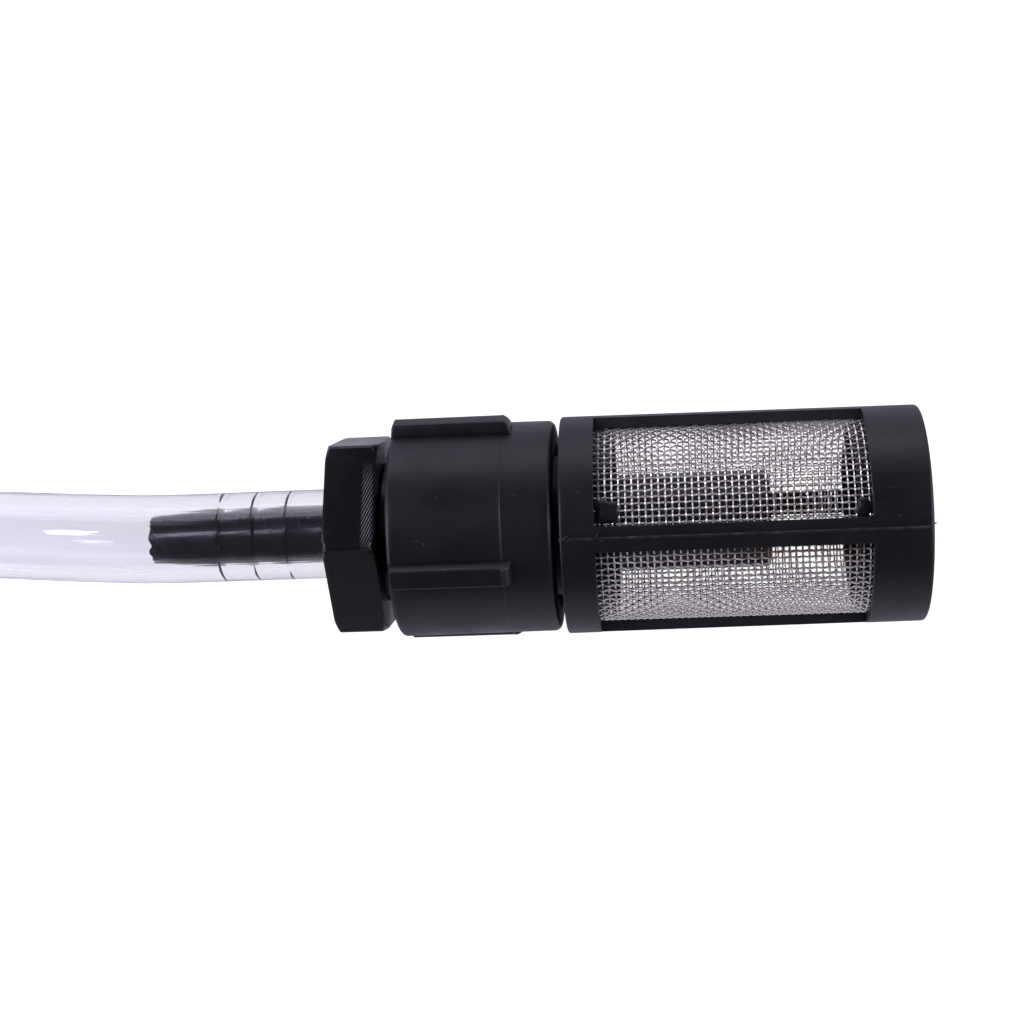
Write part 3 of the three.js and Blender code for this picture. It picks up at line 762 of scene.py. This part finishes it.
def makeCoupling(c):
    def bodyRadius(u):
        change = c["strainerRadius"] - c["hoseRadius"]
        return c["hoseRadius"] + change * (u - c["from"]) / (c["to"] - c["from"])

    outer = [c["from"] + d for d in (0.0, 0.12, 0.3, 0.55, 0.8, 1.4)]
    outer += list(np.linspace(10, 22, 12)) + [22.4, 22.65, 22.8, 22.95, 23.1, 23.25]
    outer += [23.5, 23.75, 23.9, 24.0, 24.1, 24.25, 24.5, 25.5, 27, 28.2]
    edge = [(c["to"] - c["edge"] * (1 - math.sin(a)), math.cos(a)) for a in np.linspace(0, math.pi / 2, 8)]
    corners = [(c["from"], 10.95, 0), (c["from"], 13.5, 0, "outer")]
    corners += [(u, bodyRadius(u), 0, "outer") for u in outer]
    corners += [(u, c["strainerRadius"] - c["edge"] * (1 - fall), 0, "edge") for u, fall in edge]
    corners += [(c["to"], 11.1, 0.2)]
    corners += threadRows("couplingStrainer", c["to"] - 0.5, c["shoulder"][1] + 1.2)
    corners += [(c["shoulder"][1], 10.6, 0.3), (c["shoulder"][1], c["hole"], 0.25),
                (c["shoulder"][0], c["hole"], 0.25), (c["shoulder"][0], 10.6, 0.3)]
    corners += threadRows("couplingHose", c["shoulder"][0] - 1.2, c["from"] + 0.35)

    def shape(u, r, tag, angle):
        if tag in threadAt:
            return u, threadRadius(tag, u, angle), angle
        if tag == "outer":
            if r < 13.55:
                return u, r, angle
            r = bodyRadius(u) - 0.5 * max(0, 1 - (u - c["from"]) / 0.55) ** 2
            r += 0.08 * math.exp(-((u - c["line"]) / 0.09) ** 2)  # a witness line from the mould
            away = abs((angle - c["firstRib"] + 45) % 90 - 45)
            across = min(1, max(0, (c["ribBase"] - away) / (c["ribBase"] - c["ribTop"])))
            across = math.sqrt(1 - (1 - across) ** 2) * 0.6 + ease(across) * 0.4
            rounding = min(1, max(0, (c["ribEnd"] - u) / 1.3))
            along = math.sqrt(max(0, 1 - (1 - rounding) ** 2))
            start = min(1, max(0, (u - c["from"] - 0.12) / 0.45))
            along *= math.sqrt(max(0, 1 - (1 - start) ** 2))
            r += (c["ribRadius"] - bodyRadius(u)) * across * along
        return u, r, angle

    steps = (-7.5, -6.9, -6.6, -6.3, -6.0, -5.7, -5.4, -5.1, -4.8, -4.5, -4.1, -3.5,
             3.5, 4.1, 4.5, 4.8, 5.1, 5.4, 5.7, 6.0, 6.3, 6.6, 6.9, 7.5)
    ribAngles = [c["firstRib"] + 90 * k + d for k in range(c["ribs"]) for d in steps]
    piece = turnedPiece("couplingNut", rounded(corners), blackPlastic, evenAngles(120, ribAngles), shape, 38)
    standFor(piece, "coupling", "coupling")


makeCoupling(couplingSizes)
print("coupling is moulded")


# ---- washers

washerSizes = {"bore": 5.4, "radius": 9, "thick": 2, "hoseSide": 13.6, "strainerSide": 18.0}


def makeWasher(name, node, body, start, w):
    # a flat rubber washer with softened edges
    end = start + w["thick"]
    corners = [(start, w["bore"], 0.2), (start, w["radius"], 0.25), (end, w["radius"], 0.25),
               (end, w["bore"], 0.2)]
    piece = turnedPiece(name, rounded(corners), washerRubber, evenAngles(72))
    standFor(piece, body, node)


makeWasher("hoseSideWasherRing", "hose_side_washer", "hose_side_washer", washerSizes["hoseSide"], washerSizes)
makeWasher("strainerSideWasherRing", "strainer_side_washer", "strainer_side_washer",
           washerSizes["strainerSide"], washerSizes)
print("washers are cut")


# ---- strainer cage: spigot, two rims, four ribs, and the collars that the screen is moulded on

cageSizes = {
    "from": 30.3, "to": 76.7, "hoseRadius": 14.38, "closedRadius": 14.13, "inside": 12.9,
    "windows": (34.7, 69.3), "ribs": 4, "firstRib": -7.7, "ribDegrees": 13.3, "spigotFrom": 21.8,
    "spigotBore": 7, "floor": 32.3,
    "collar": (11.2, 12.3), "collars": (37.1, 67.8), "web": (70.9, 71.7), "edge": 0.7,
    # plastic that leaked over the screen in the windows' corners: u from, u to, angle from, angle to, seed
    "webs": ((34.2, 38.4, -2, 15.5, 1.0), (67.0, 69.8, -2, 11, 2.0), (34.3, 36.2, 68, 77, 3.0),
             (34.2, 35.9, 84, 91, 4.0), (67.9, 69.6, -100, -92, 5.0), (34.3, 36.6, 170, 182, 6.0)),
    # slivers of flash: u, r, angle, length along u, turn from u, width, lift in mm
    "slivers": ((30.2, 14.2, -7.4, 1.5, 25, 0.34, 0.35), (34.9, 14.3, -6.5, 0.9, 65, 0.28, 0.3),
                (76.2, 13.9, -5.6, 0.8, 10, 0.3, 0.25), (76.0, 13.7, -4.6, 0.75, -40, 0.24, 0.25)),
}


def flashWeb(u0, u1, a0, a1, seed):
    # a thin ragged skin between the window's corner and the screen
    ring, rows = 28, 5
    points, faces = [], []
    for side in (0, 1):
        for row in range(rows + 1):
            for k in range(ring):
                t = 2 * math.pi * k / ring
                ragged = 0.9 + 0.32 * noise.noise(Vector((1.6 * math.cos(t), 1.6 * math.sin(t), seed * 7.7)))
                square = 1 / max(abs(math.cos(t)), abs(math.sin(t))) ** 0.4
                reach = row / rows * ragged * min(1.25, square)
                u = (u0 + u1) / 2 + (u1 - u0) / 2 * reach * math.cos(t)
                angle = (a0 + a1) / 2 + (a1 - a0) / 2 * reach * math.sin(t)
                wavy = 0.12 * noise.noise(Vector((u, angle * 0.25, seed)))
                r = 12.45 if side else 12.95 + wavy - 0.3 * (row / rows) ** 4
                points.append(placed(u, r, angle))
    per = (rows + 1) * ring
    for side in (0, 1):
        for row in range(rows):
            for k in range(ring):
                n = (k + 1) % ring
                a, b = side * per + row * ring, side * per + (row + 1) * ring
                faces.append((a + k, a + n, b + n, b + k))
    outer = rows * ring
    for k in range(ring):
        n = (k + 1) % ring
        faces.append((outer + k, outer + n, per + outer + n, per + outer + k))
    return meshFrom("web", points, faces)


def flashSliver(u, r, angle, length, turn, width, lift):
    # a curled wedge of flash standing off an edge
    points, faces = [], []
    steps, turned = 8, math.radians(turn)
    for i in range(steps + 1):
        t = i / steps
        along, rise = length * t, lift * math.sin(math.pi * 0.55 * t)
        half = width / 2 * (1 - t) ** 0.6
        for side, depth in ((-1, 0), (1, 0), (1, 0.12), (-1, 0.12)):
            du = along * math.cos(turned) - side * half * math.sin(turned)
            across = along * math.sin(turned) + side * half * math.cos(turned)
            points.append(placed(u + du, r + rise - depth, angle + math.degrees(across / r)))
    for i in range(steps):
        for j in range(4):
            n = (j + 1) % 4
            faces.append((4 * i + j, 4 * i + n, 4 * i + 4 + n, 4 * i + 4 + j))
    faces += [(3, 2, 1, 0), tuple(4 * steps + j for j in range(4))]
    return meshFrom("sliver", points, faces)


def makeCage(c):
    def outerRadius(u):
        change = c["closedRadius"] - c["hoseRadius"]
        return c["hoseRadius"] + change * (u - c["from"]) / (c["to"] - c["from"])

    w0, w1 = c["windows"]
    windowRows = [w0, w0 + 0.25] + list(np.linspace(w0 + 0.7, w1 - 0.7, 76)) + [w1 - 0.25, w1]
    corners = [(c["spigotFrom"], c["spigotBore"], 0.25), (c["spigotFrom"], 8.75, 0)]
    corners += threadRows("cageMale", c["spigotFrom"] + 0.35, c["from"] - 1.2)
    corners += [(c["from"] - 0.25, 9.2, 0), (c["from"], 9.6, 0)]
    corners += [(c["from"], 12.0, 0), (c["from"], outerRadius(c["from"]), 0.45)]
    corners += [(u, outerRadius(u), 0, "outer") for u in np.arange(31.1, w0 - 0.2, 0.4)]
    corners += [(u, outerRadius(u), 0, ("outerWindow", k)) for k, u in enumerate(windowRows)]
    corners += [(u, outerRadius(u), 0, "outer") for u in np.arange(w1 + 0.3, 75.9, 0.4)]
    corners += [(c["to"], c["closedRadius"], c["edge"]), (c["to"], c["inside"], 0.15)]
    corners += [(c["web"][1], c["inside"], 0), (c["web"][1], c["collar"][0], 0.15)]
    corners += [(c["collars"][1], c["collar"][0], 0.2), (c["collars"][1], c["collar"][1], 0.2)]
    corners += [(c["web"][0], c["collar"][1], 0), (c["web"][0], c["inside"], 0)]
    corners += [(u, c["inside"], 0, ("innerWindow", len(windowRows) - 1 - k))
                for k, u in enumerate(reversed(windowRows))]
    corners += [(c["floor"], c["inside"], 0), (c["floor"], c["collar"][1], 0),
                (c["collars"][0], c["collar"][1], 0.2),
                (c["collars"][0], c["collar"][0], 0.2), (c["floor"], c["collar"][0], 0),
                (c["floor"], c["spigotBore"], 0.3)]
    outline = rounded(corners)
    halfRib = c["ribDegrees"] / 2

    def shape(u, r, tag, angle):
        if tag in threadAt:
            return u, threadRadius(tag, u, angle), angle
        if tag == "outer" or (isinstance(tag, tuple) and tag[0] == "outerWindow"):
            # the mould's parting line: a low uneven ridge of flash along two ribs
            off = (angle - c["firstRib"] - 0.5 + 90) % 180 - 90
            slow = noise.noise(Vector((u * 1.1, 3.1, 0)))
            fast = noise.noise(Vector((u * 3.7, 0, 2)))
            flash = 0.16 + 0.14 * slow + 0.16 * fast
            r += flash * math.exp(-(off / 0.55) ** 2) - 0.05 * math.exp(-((off - 1.2) / 0.5) ** 2)
        if isinstance(tag, tuple):
            # the ribs' edges aren't quite straight
            off = (angle - c["firstRib"] + 45) % 90 - 45
            if abs(abs(off) - halfRib) < 0.6:
                rib = round((angle - off) / 90)
                angle += 0.35 * noise.noise(Vector((u * 0.55, rib * 7.0, math.copysign(2, off))))
        return u, r, angle

    steps = (-halfRib - 0.9, -halfRib, -halfRib + 0.9, halfRib - 0.9, halfRib, halfRib + 0.9)
    ribAngles = [c["firstRib"] + 90 * k + d for k in range(c["ribs"]) for d in steps]
    besideLine = (-1.6, -1.2, -0.8, -0.5, -0.25, 0, 0.25, 0.5, 0.8, 1.2, 1.6, 2.0)
    ribAngles += [c["firstRib"] + 180 * k + 0.5 + d for k in range(2) for d in besideLine]
    ribAngles = [round(a % 360, 4) for a in ribAngles]
    spread = [a for a in evenAngles(120) if min(abs((a - b + 180) % 360 - 180) for b in ribAngles) > 0.4]
    angles = sorted(set(spread) | set(ribAngles))
    points, rings = turnedGrid(outline, angles, shape)

    def inWindow(j):
        start, end = angles[j], angles[(j + 1) % len(angles)]
        middle = (start + ((end - start) % 360) / 2 - c["firstRib"] + 45) % 90 - 45
        return abs(middle) > halfRib

    cells = len(angles)
    outerRing = {tag[1]: ring for (u, r, tag), ring in zip(outline, rings)
                 if isinstance(tag, tuple) and tag[0] == "outerWindow"}
    innerRing = {tag[1]: ring for (u, r, tag), ring in zip(outline, rings)
                 if isinstance(tag, tuple) and tag[0] == "innerWindow"}
    last = len(windowRows) - 1
    faces = []
    for i, ring in enumerate(rings):
        following = rings[(i + 1) % len(rings)]
        tags = outline[i][2], outline[(i + 1) % len(rings)][2]
        cutOut = all(isinstance(t, tuple) for t in tags) and tags[0][0] == tags[1][0]
        for j in range(cells):
            if cutOut and inWindow(j):
                continue
            k = (j + 1) % cells
            faces.append((ring[j], ring[k], following[k], following[j]))
    for j in range(cells):
        k = (j + 1) % cells
        if inWindow(j):
            for row in (0, last):
                faces.append((outerRing[row][j], outerRing[row][k], innerRing[row][k], innerRing[row][j]))
        if inWindow(j) != inWindow(j - 1):
            for row in range(last):
                faces.append((outerRing[row][j], outerRing[row + 1][j], innerRing[row + 1][j],
                              innerRing[row][j]))
    mesh = meshFrom("strainerCage", points, faces)
    work = bmesh.new()
    work.from_mesh(mesh)
    lip = [e for e in work.edges if len(e.link_faces) == 2 and e.calc_face_angle(0) > math.radians(50)
           and all(Vector((0, v.co.y, v.co.z - axisZ)).length > 13.5 * mm for v in e.verts)
           and all(w0 - 0.1 < (v.co.x - hexFaceX) / mm < w1 + 0.1 for v in e.verts)]
    bmesh.ops.bevel(work, geom=lip, offset=0.16 * mm, segments=2, profile=0.5, affect="EDGES",
                    clamp_overlap=True)
    for web in c["webs"]:
        work.from_mesh(flashWeb(*web))
    for sliver in c["slivers"]:
        work.from_mesh(flashSliver(*sliver))
    work.to_mesh(mesh)
    work.free()
    piece = newPiece("cageMoulding", mesh, blackPlastic, 38)
    standFor(piece, "strainer", "strainer_cage")


makeCage(cageSizes)
print("strainer cage is moulded")


# ---- screen: plain-weave wire cloth rolled to a cylinder, every wire crimped over and under

screenSizes = {"radius": 12.6 * mm, "wire": 0.25 * mm, "wires": 94, "from": 32.6, "to": 70.6,
               "waver": 0.045 * mm}


def weaveTree(name, hoops):
    # one set of wires: lengthwise if hoops is False, round the cylinder if it is True
    tree = bpy.data.node_groups.new(name, "GeometryNodeTree")
    tree.interface.new_socket("Geometry", in_out="OUTPUT", socket_type="NodeSocketGeometry")
    for label, kind in (("Radius", "Float"), ("Wire", "Float"), ("Pitch", "Float"), ("Wires", "Int"),
                        ("Rows", "Int"), ("Start", "Float"), ("Height", "Float"), ("Waver", "Float")):
        tree.interface.new_socket(label, in_out="INPUT", socket_type="NodeSocket" + kind)
    tree.interface.new_socket("Material", in_out="INPUT", socket_type="NodeSocketMaterial")
    given = addNode(tree, "NodeGroupInput").outputs

    crossings = given["Rows"] if not hoops else given["Wires"]
    fine = addNode(tree, "ShaderNodeMath", {"operation": "MULTIPLY"}, {0: crossings, 1: 4.0}).outputs[0]
    if hoops:
        base = addNode(tree, "GeometryNodeCurvePrimitiveCircle", None, {
            "Resolution": fine, "Radius": 1.0}).outputs[0]
        copies = given["Rows"]
    else:
        length = addNode(tree, "ShaderNodeMath", {"operation": "MULTIPLY"}, {
            0: given["Rows"], 1: given["Pitch"]})
        end = addNode(tree, "ShaderNodeCombineXYZ", None, {"X": length.outputs[0]}).outputs[0]
        line = addNode(tree, "GeometryNodeCurvePrimitiveLine", None, {"End": end}).outputs[0]
        count = addNode(tree, "ShaderNodeMath", {"operation": "ADD"}, {0: fine, 1: 1.0}).outputs[0]
        base = addNode(tree, "GeometryNodeResampleCurve", None, {"Curve": line, "Count": count}).outputs[0]
        copies = given["Wires"]
    many = addNode(tree, "GeometryNodeDuplicateElements", {"domain": "SPLINE"}, {
        "Geometry": base, "Amount": copies})
    which = addNode(tree, "ShaderNodeMath", {"operation": "ADD"}, {
        0: many.outputs["Duplicate Index"], 1: 0.0}).outputs[0]
    place = addNode(tree, "GeometryNodeInputPosition").outputs[0]
    split = addNode(tree, "ShaderNodeSeparateXYZ", None, {"Vector": place}).outputs
    apart = addNode(tree, "ShaderNodeMath", {"operation": "DIVIDE"}, {
        0: 2 * math.pi, 1: given["Wires"]}).outputs[0]
    if hoops:
        row = which
        along = addNode(tree, "ShaderNodeMath", {"operation": "MULTIPLY"}, {
            0: row, 1: given["Pitch"]}).outputs[0]
        angle = addNode(tree, "ShaderNodeMath", {"operation": "ARCTAN2"}, {
            0: split["Y"], 1: split["X"]}).outputs[0]
        across = addNode(tree, "ShaderNodeMath", {"operation": "DIVIDE"}, {0: angle, 1: apart}).outputs[0]
    else:
        along = split["X"]
        row = addNode(tree, "ShaderNodeMath", {"operation": "DIVIDE"}, {
            0: along, 1: given["Pitch"]}).outputs[0]
        across = which
        angle = addNode(tree, "ShaderNodeMath", {"operation": "MULTIPLY"}, {0: across, 1: apart}).outputs[0]
    # over one wire and under the next: a cosine that turns over at every crossing
    crossing = addNode(tree, "ShaderNodeMath", {"operation": "ADD"}, {0: across, 1: row}).outputs[0]
    phase = addNode(tree, "ShaderNodeMath", {"operation": "MULTIPLY"}, {0: crossing, 1: math.pi}).outputs[0]
    wave = addNode(tree, "ShaderNodeMath", {"operation": "COSINE"}, {0: phase}).outputs[0]
    depth = addNode(tree, "ShaderNodeMath", {"operation": "MULTIPLY"}, {
        0: given["Wire"], 1: -0.5 if hoops else 0.5})
    r = addNode(tree, "ShaderNodeMath", {"operation": "MULTIPLY_ADD"}, {
        0: wave, 1: depth.outputs[0], 2: given["Radius"]}).outputs[0]
    sine = addNode(tree, "ShaderNodeMath", {"operation": "SINE"}, {0: angle}).outputs[0]
    cosine = addNode(tree, "ShaderNodeMath", {"operation": "COSINE"}, {0: angle}).outputs[0]
    x = addNode(tree, "ShaderNodeMath", {"operation": "ADD"}, {0: along, 1: given["Start"]}).outputs[0]
    y = addNode(tree, "ShaderNodeMath", {"operation": "MULTIPLY"}, {0: r, 1: sine}).outputs[0]
    z = addNode(tree, "ShaderNodeMath", {"operation": "MULTIPLY_ADD"}, {
        0: r, 1: cosine, 2: given["Height"]}).outputs[0]
    spot = addNode(tree, "ShaderNodeCombineXYZ", None, {"X": x, "Y": y, "Z": z}).outputs[0]
    # the same slow waver moves both sets of wires, so their crossings stay together
    drift = addNode(tree, "ShaderNodeTexNoise", None, {
        "Vector": spot, "Scale": 1 / (6 * mm), "Detail": 2}).outputs["Color"]
    centred = addNode(tree, "ShaderNodeVectorMath", {"operation": "SUBTRACT"}, {
        0: drift, 1: (0.5, 0.5, 0.5)}).outputs[0]
    moved = addNode(tree, "ShaderNodeVectorMath", {"operation": "SCALE"}, {
        0: centred, "Scale": given["Waver"]}).outputs[0]
    shifted = addNode(tree, "GeometryNodeSetPosition", None, {
        "Geometry": many.outputs["Geometry"], "Position": spot, "Offset": moved}).outputs[0]
    half = addNode(tree, "ShaderNodeMath", {"operation": "MULTIPLY"}, {0: given["Wire"], 1: 0.5}).outputs[0]
    profile = addNode(tree, "GeometryNodeCurvePrimitiveCircle", None, {
        "Resolution": 5, "Radius": half}).outputs[0]
    solid = addNode(tree, "GeometryNodeCurveToMesh", None, {
        "Curve": shifted, "Profile Curve": profile, "Fill Caps": not hoops}).outputs[0]
    real = addNode(tree, "GeometryNodeRealizeInstances", None, {"Geometry": solid}).outputs[0]
    finished = addNode(tree, "GeometryNodeSetMaterial", None, {
        "Geometry": real, "Material": given["Material"]}).outputs[0]
    addNode(tree, "NodeGroupOutput", None, {"Geometry": finished})
    return tree


def fromTree(name, tree, values, material, sharpAngle=60):
    # runs a Geometry Nodes tree once and keeps its result as a plain mesh
    carrier = bpy.data.objects.new(name + "Carrier", bpy.data.meshes.new(name + "Carrier"))
    bpy.context.scene.collection.objects.link(carrier)
    modifier = carrier.modifiers.new("build", "NODES")
    modifier.node_group = tree
    labels = {item.name: item.identifier for item in tree.interface.items_tree if item.in_out == "INPUT"}
    for label, value in values.items():
        modifier[labels[label]] = value
    modifier[labels["Material"]] = material
    bpy.context.view_layer.update()
    mesh = bpy.data.meshes.new_from_object(carrier.evaluated_get(bpy.context.evaluated_depsgraph_get()))
    bpy.data.objects.remove(carrier)
    return newPiece(name, mesh, material, sharpAngle)


def makeScreen(s):
    pitch = 2 * math.pi * s["radius"] / s["wires"]
    rows = int((s["to"] - s["from"]) * mm / pitch)
    values = {"Radius": s["radius"], "Wire": s["wire"], "Pitch": pitch, "Wires": s["wires"], "Rows": rows,
              "Start": hexFaceX + (s["from"] + 0.2) * mm, "Height": axisZ, "Waver": s["waver"]}
    pieces = [fromTree("screenWarp", weaveTree("weaveLengthwise", False), values, screenSteel),
              fromTree("screenWeft", weaveTree("weaveRound", True), values, screenSteel)]
    for piece in pieces:
        standFor(piece, "strainer", "mesh_screen")
        print(piece.name, len(piece.data.polygons), "faces")


makeScreen(screenSizes)
print("screen is woven")


# ---- end plug

plugSizes = {
    "from": 72.0, "face": 76.4, "radius": 12.6, "inside": 10.9, "dish": 75.95, "dishRadius": 10.4,
    "gate": 76.2, "gateRadius": 1.6, "back": 74.2,
}


def makePlug(p):
    # a pressed-in cap with a shallow dish, closing the cage where the mould's core came out
    corners = [(p["from"], p["inside"], 0.2), (p["from"], p["radius"], 0.3), (p["face"], p["radius"], 0.35),
               (p["face"], p["dishRadius"], 0.2), (p["dish"], p["dishRadius"] - 0.3, 0.2),
               (p["dish"], p["gateRadius"] + 0.3, 0.15), (p["gate"], p["gateRadius"], 0.15),
               (p["gate"], 0, 0),
               (p["back"], 0, 0), (p["back"], p["inside"], 0.4)]
    piece = turnedPiece("endPlugCap", rounded(corners), blackPlastic, evenAngles(96))
    standFor(piece, "strainer", "end_plug")


makePlug(plugSizes)
print("end plug is pressed in")


# ---- non-return valve: body, guide, ring, spring, poppet and seals

valveSizes = {
    "flange": (20.3, 21.5), "flangeRadius": 9, "radius": 6.4, "to": 57.2, "bore": 4.85, "guideBore": 5.25,
    "shoulder": 42.1, "seat": 3.4, "seatFrom": 55.6, "groove": 25.2, "grooveHalf": 0.75, "grooveRadius": 5.55,
    "ringMiddle": 6.22, "ringWire": 0.52,
}
poppetSizes = {
    "from": 36.7, "stem": 1.15, "collar": 1.9, "disc": (52.7, 54.3), "radius": 4.35, "noseRadius": 2.5,
    "noseTo": 56.1, "noseTip": 1.8, "seal": (54.5, 55.35), "sealBore": 2.7,
}


def makeValve(v, p):
    g0, g1 = v["groove"] - v["grooveHalf"], v["groove"] + v["grooveHalf"]
    corners = [
        (v["flange"][0], v["guideBore"], 0.2), (v["flange"][0], v["flangeRadius"], 0.3),
        (v["flange"][1], v["flangeRadius"], 0.3), (v["flange"][1], v["radius"], 0.2), (g0, v["radius"], 0.1),
        (g0, v["grooveRadius"], 0.1), (g1, v["grooveRadius"], 0.1), (g1, v["radius"], 0.1),
        (v["to"], v["radius"], 0.6), (v["to"], v["seat"], 0.3), (v["seatFrom"], v["seat"], 0.2),
        (v["seatFrom"], v["bore"], 0.15), (v["shoulder"], v["bore"], 0.1),
        (v["shoulder"], v["guideBore"], 0.1)]
    body = turnedPiece("valveBodyTube", rounded(corners), valvePlastic)
    standFor(body, "strainer", "valve_body")

    circle = [(v["groove"] + v["ringWire"] * math.cos(a), v["ringMiddle"] + v["ringWire"] * math.sin(a), None)
              for a in np.linspace(0, 2 * math.pi, 16, endpoint=False)]
    standFor(turnedPiece("valveBodySealRing", circle, sealRubber, evenAngles(72)), "strainer",
              "valve_body_o_ring")

    d0, d1 = p["disc"]
    poppet = [(p["from"], 0, 0), (p["from"], p["stem"], 0.35), (d0 - 0.4, p["stem"], 0.3),
              (d0, p["collar"], 0.2),
              (d0, p["radius"], 0.2), (d1, p["radius"], 0.2), (d1, p["noseRadius"], 0.15),
              (p["noseTo"] - 0.5, p["noseRadius"], 0.3), (p["noseTo"], p["noseTip"], 0.2),
              (p["noseTo"], 0, 0)]
    standFor(turnedPiece("valvePoppetDisc", rounded(poppet), valvePlastic, evenAngles(64)), "valve_poppet",
              "valve_poppet")
    s0, s1 = p["seal"]
    seal = [(s0, p["sealBore"], 0.15), (s0, p["radius"], 0.25), (s1, p["radius"], 0.3),
            (s1, p["sealBore"], 0.15)]
    standFor(turnedPiece("poppetSealRing", rounded(seal), sealRubber, evenAngles(64)), "valve_poppet",
              "poppet_seal")


def slabPiece(name, outlineLoops, u0, u1, material):
    # a flat plate across the axis from closed outlines of (r, angle); the first is outside
    curve = bpy.data.curves.new(name, "CURVE")
    curve.dimensions = "2D"
    curve.fill_mode = "BOTH"
    softened = 0.08 * mm
    curve.extrude = (u1 - u0) / 2 * mm - softened
    curve.bevel_depth = softened
    curve.bevel_resolution = 1
    for loop in outlineLoops:
        spline = curve.splines.new("POLY")
        spline.points.add(len(loop) - 1)
        for point, (r, angle) in zip(spline.points, loop):
            a = math.radians(angle)
            point.co = (r * mm * math.sin(a), r * mm * math.cos(a), 0, 1)
        spline.use_cyclic_u = True
    carrier = bpy.data.objects.new(name + "Carrier", curve)
    bpy.context.scene.collection.objects.link(carrier)
    bpy.context.view_layer.update()
    mesh = bpy.data.meshes.new_from_object(carrier.evaluated_get(bpy.context.evaluated_depsgraph_get()))
    bpy.data.objects.remove(carrier)
    work = bmesh.new()
    work.from_mesh(mesh)
    bmesh.ops.remove_doubles(work, verts=work.verts, dist=1e-6)
    across = Matrix(((0, 0, 1, hexFaceX + (u0 + u1) / 2 * mm), (1, 0, 0, 0), (0, 1, 0, axisZ), (0, 0, 0, 1)))
    bmesh.ops.transform(work, matrix=across, verts=work.verts)
    bmesh.ops.recalc_face_normals(work, faces=work.faces)
    work.to_mesh(mesh)
    work.free()
    return newPiece(name, mesh, material)


def ringSector(inner, outer, start, end, steps):
    angles = [start + (end - start) * i / steps for i in range(steps + 1)]
    return [(outer, a) for a in angles] + [(inner, a) for a in reversed(angles)]


guideSizes = {
    "disc": (40.4, 41.9), "radius": 5.0, "hole": 1.5, "windows": (2.5, 4.2), "halfWindow": 38,
    "circlip": (39.3, 40.2), "circlipBore": 4.25, "circlipEnds": (25, 335),
}


def makeGuide(g):
    # the stem's guide: a disc with three windows for the water, held by an internal ring
    full = [(g["radius"], 5 * i) for i in range(72)]
    hole = [(g["hole"], 15 * i) for i in range(24)]
    windows = [ringSector(*g["windows"], a - g["halfWindow"], a + g["halfWindow"], 16) for a in (0, 120, 240)]
    disc = slabPiece("valveGuideDisc", [full, hole] + windows, *g["disc"], valvePlastic)
    standFor(disc, "strainer", "valve_guide")
    split = ringSector(g["circlipBore"], g["radius"], *g["circlipEnds"], 60)
    circlip = slabPiece("guideCirclip", [split], *g["circlip"], springSteel)
    standFor(circlip, "strainer", "guide_retaining_ring")


springSizes = {"from": 42.4, "to": 52.4, "middle": 2.9, "wire": 0.3, "turns": 6, "lift": 3, "sides": 10}


def makeSpring(s):
    # six coils, the end ones closed up
    line = []
    steps = s["turns"] * 28
    for i in range(steps + 1):
        t = i / steps
        rise = t - 0.045 * math.sin(2 * math.pi * t)
        u = s["from"] + s["wire"] + rise * (s["to"] - s["from"] - 2 * s["wire"])
        line.append(placed(u, s["middle"], -360 * s["turns"] * t))
    sides = s["sides"]
    rings = sweptRings(np.array(line), s["wire"] * mm, sides)
    points = [p for ring in rings for p in ring] + [line[0], line[-1]]
    faces = []
    for i in range(len(rings) - 1):
        a, b = sides * i, sides * (i + 1)
        for j in range(sides):
            k = (j + 1) % sides
            faces.append((a + j, a + k, b + k, b + j))
    faces += [(len(points) - 2, (j + 1) % sides, j) for j in range(sides)]
    first = sides * (len(rings) - 1)
    faces += [(len(points) - 1, first + j, first + (j + 1) % sides) for j in range(sides)]
    piece = newPiece("valveSpringCoil", meshFrom("valveSpringCoil", points, faces), springSteel, 60)
    standFor(piece, "strainer", "valve_spring")
    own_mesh(piece)


makeValve(valveSizes, poppetSizes)
makeGuide(guideSizes)
makeSpring(springSizes)
print("valve is assembled")
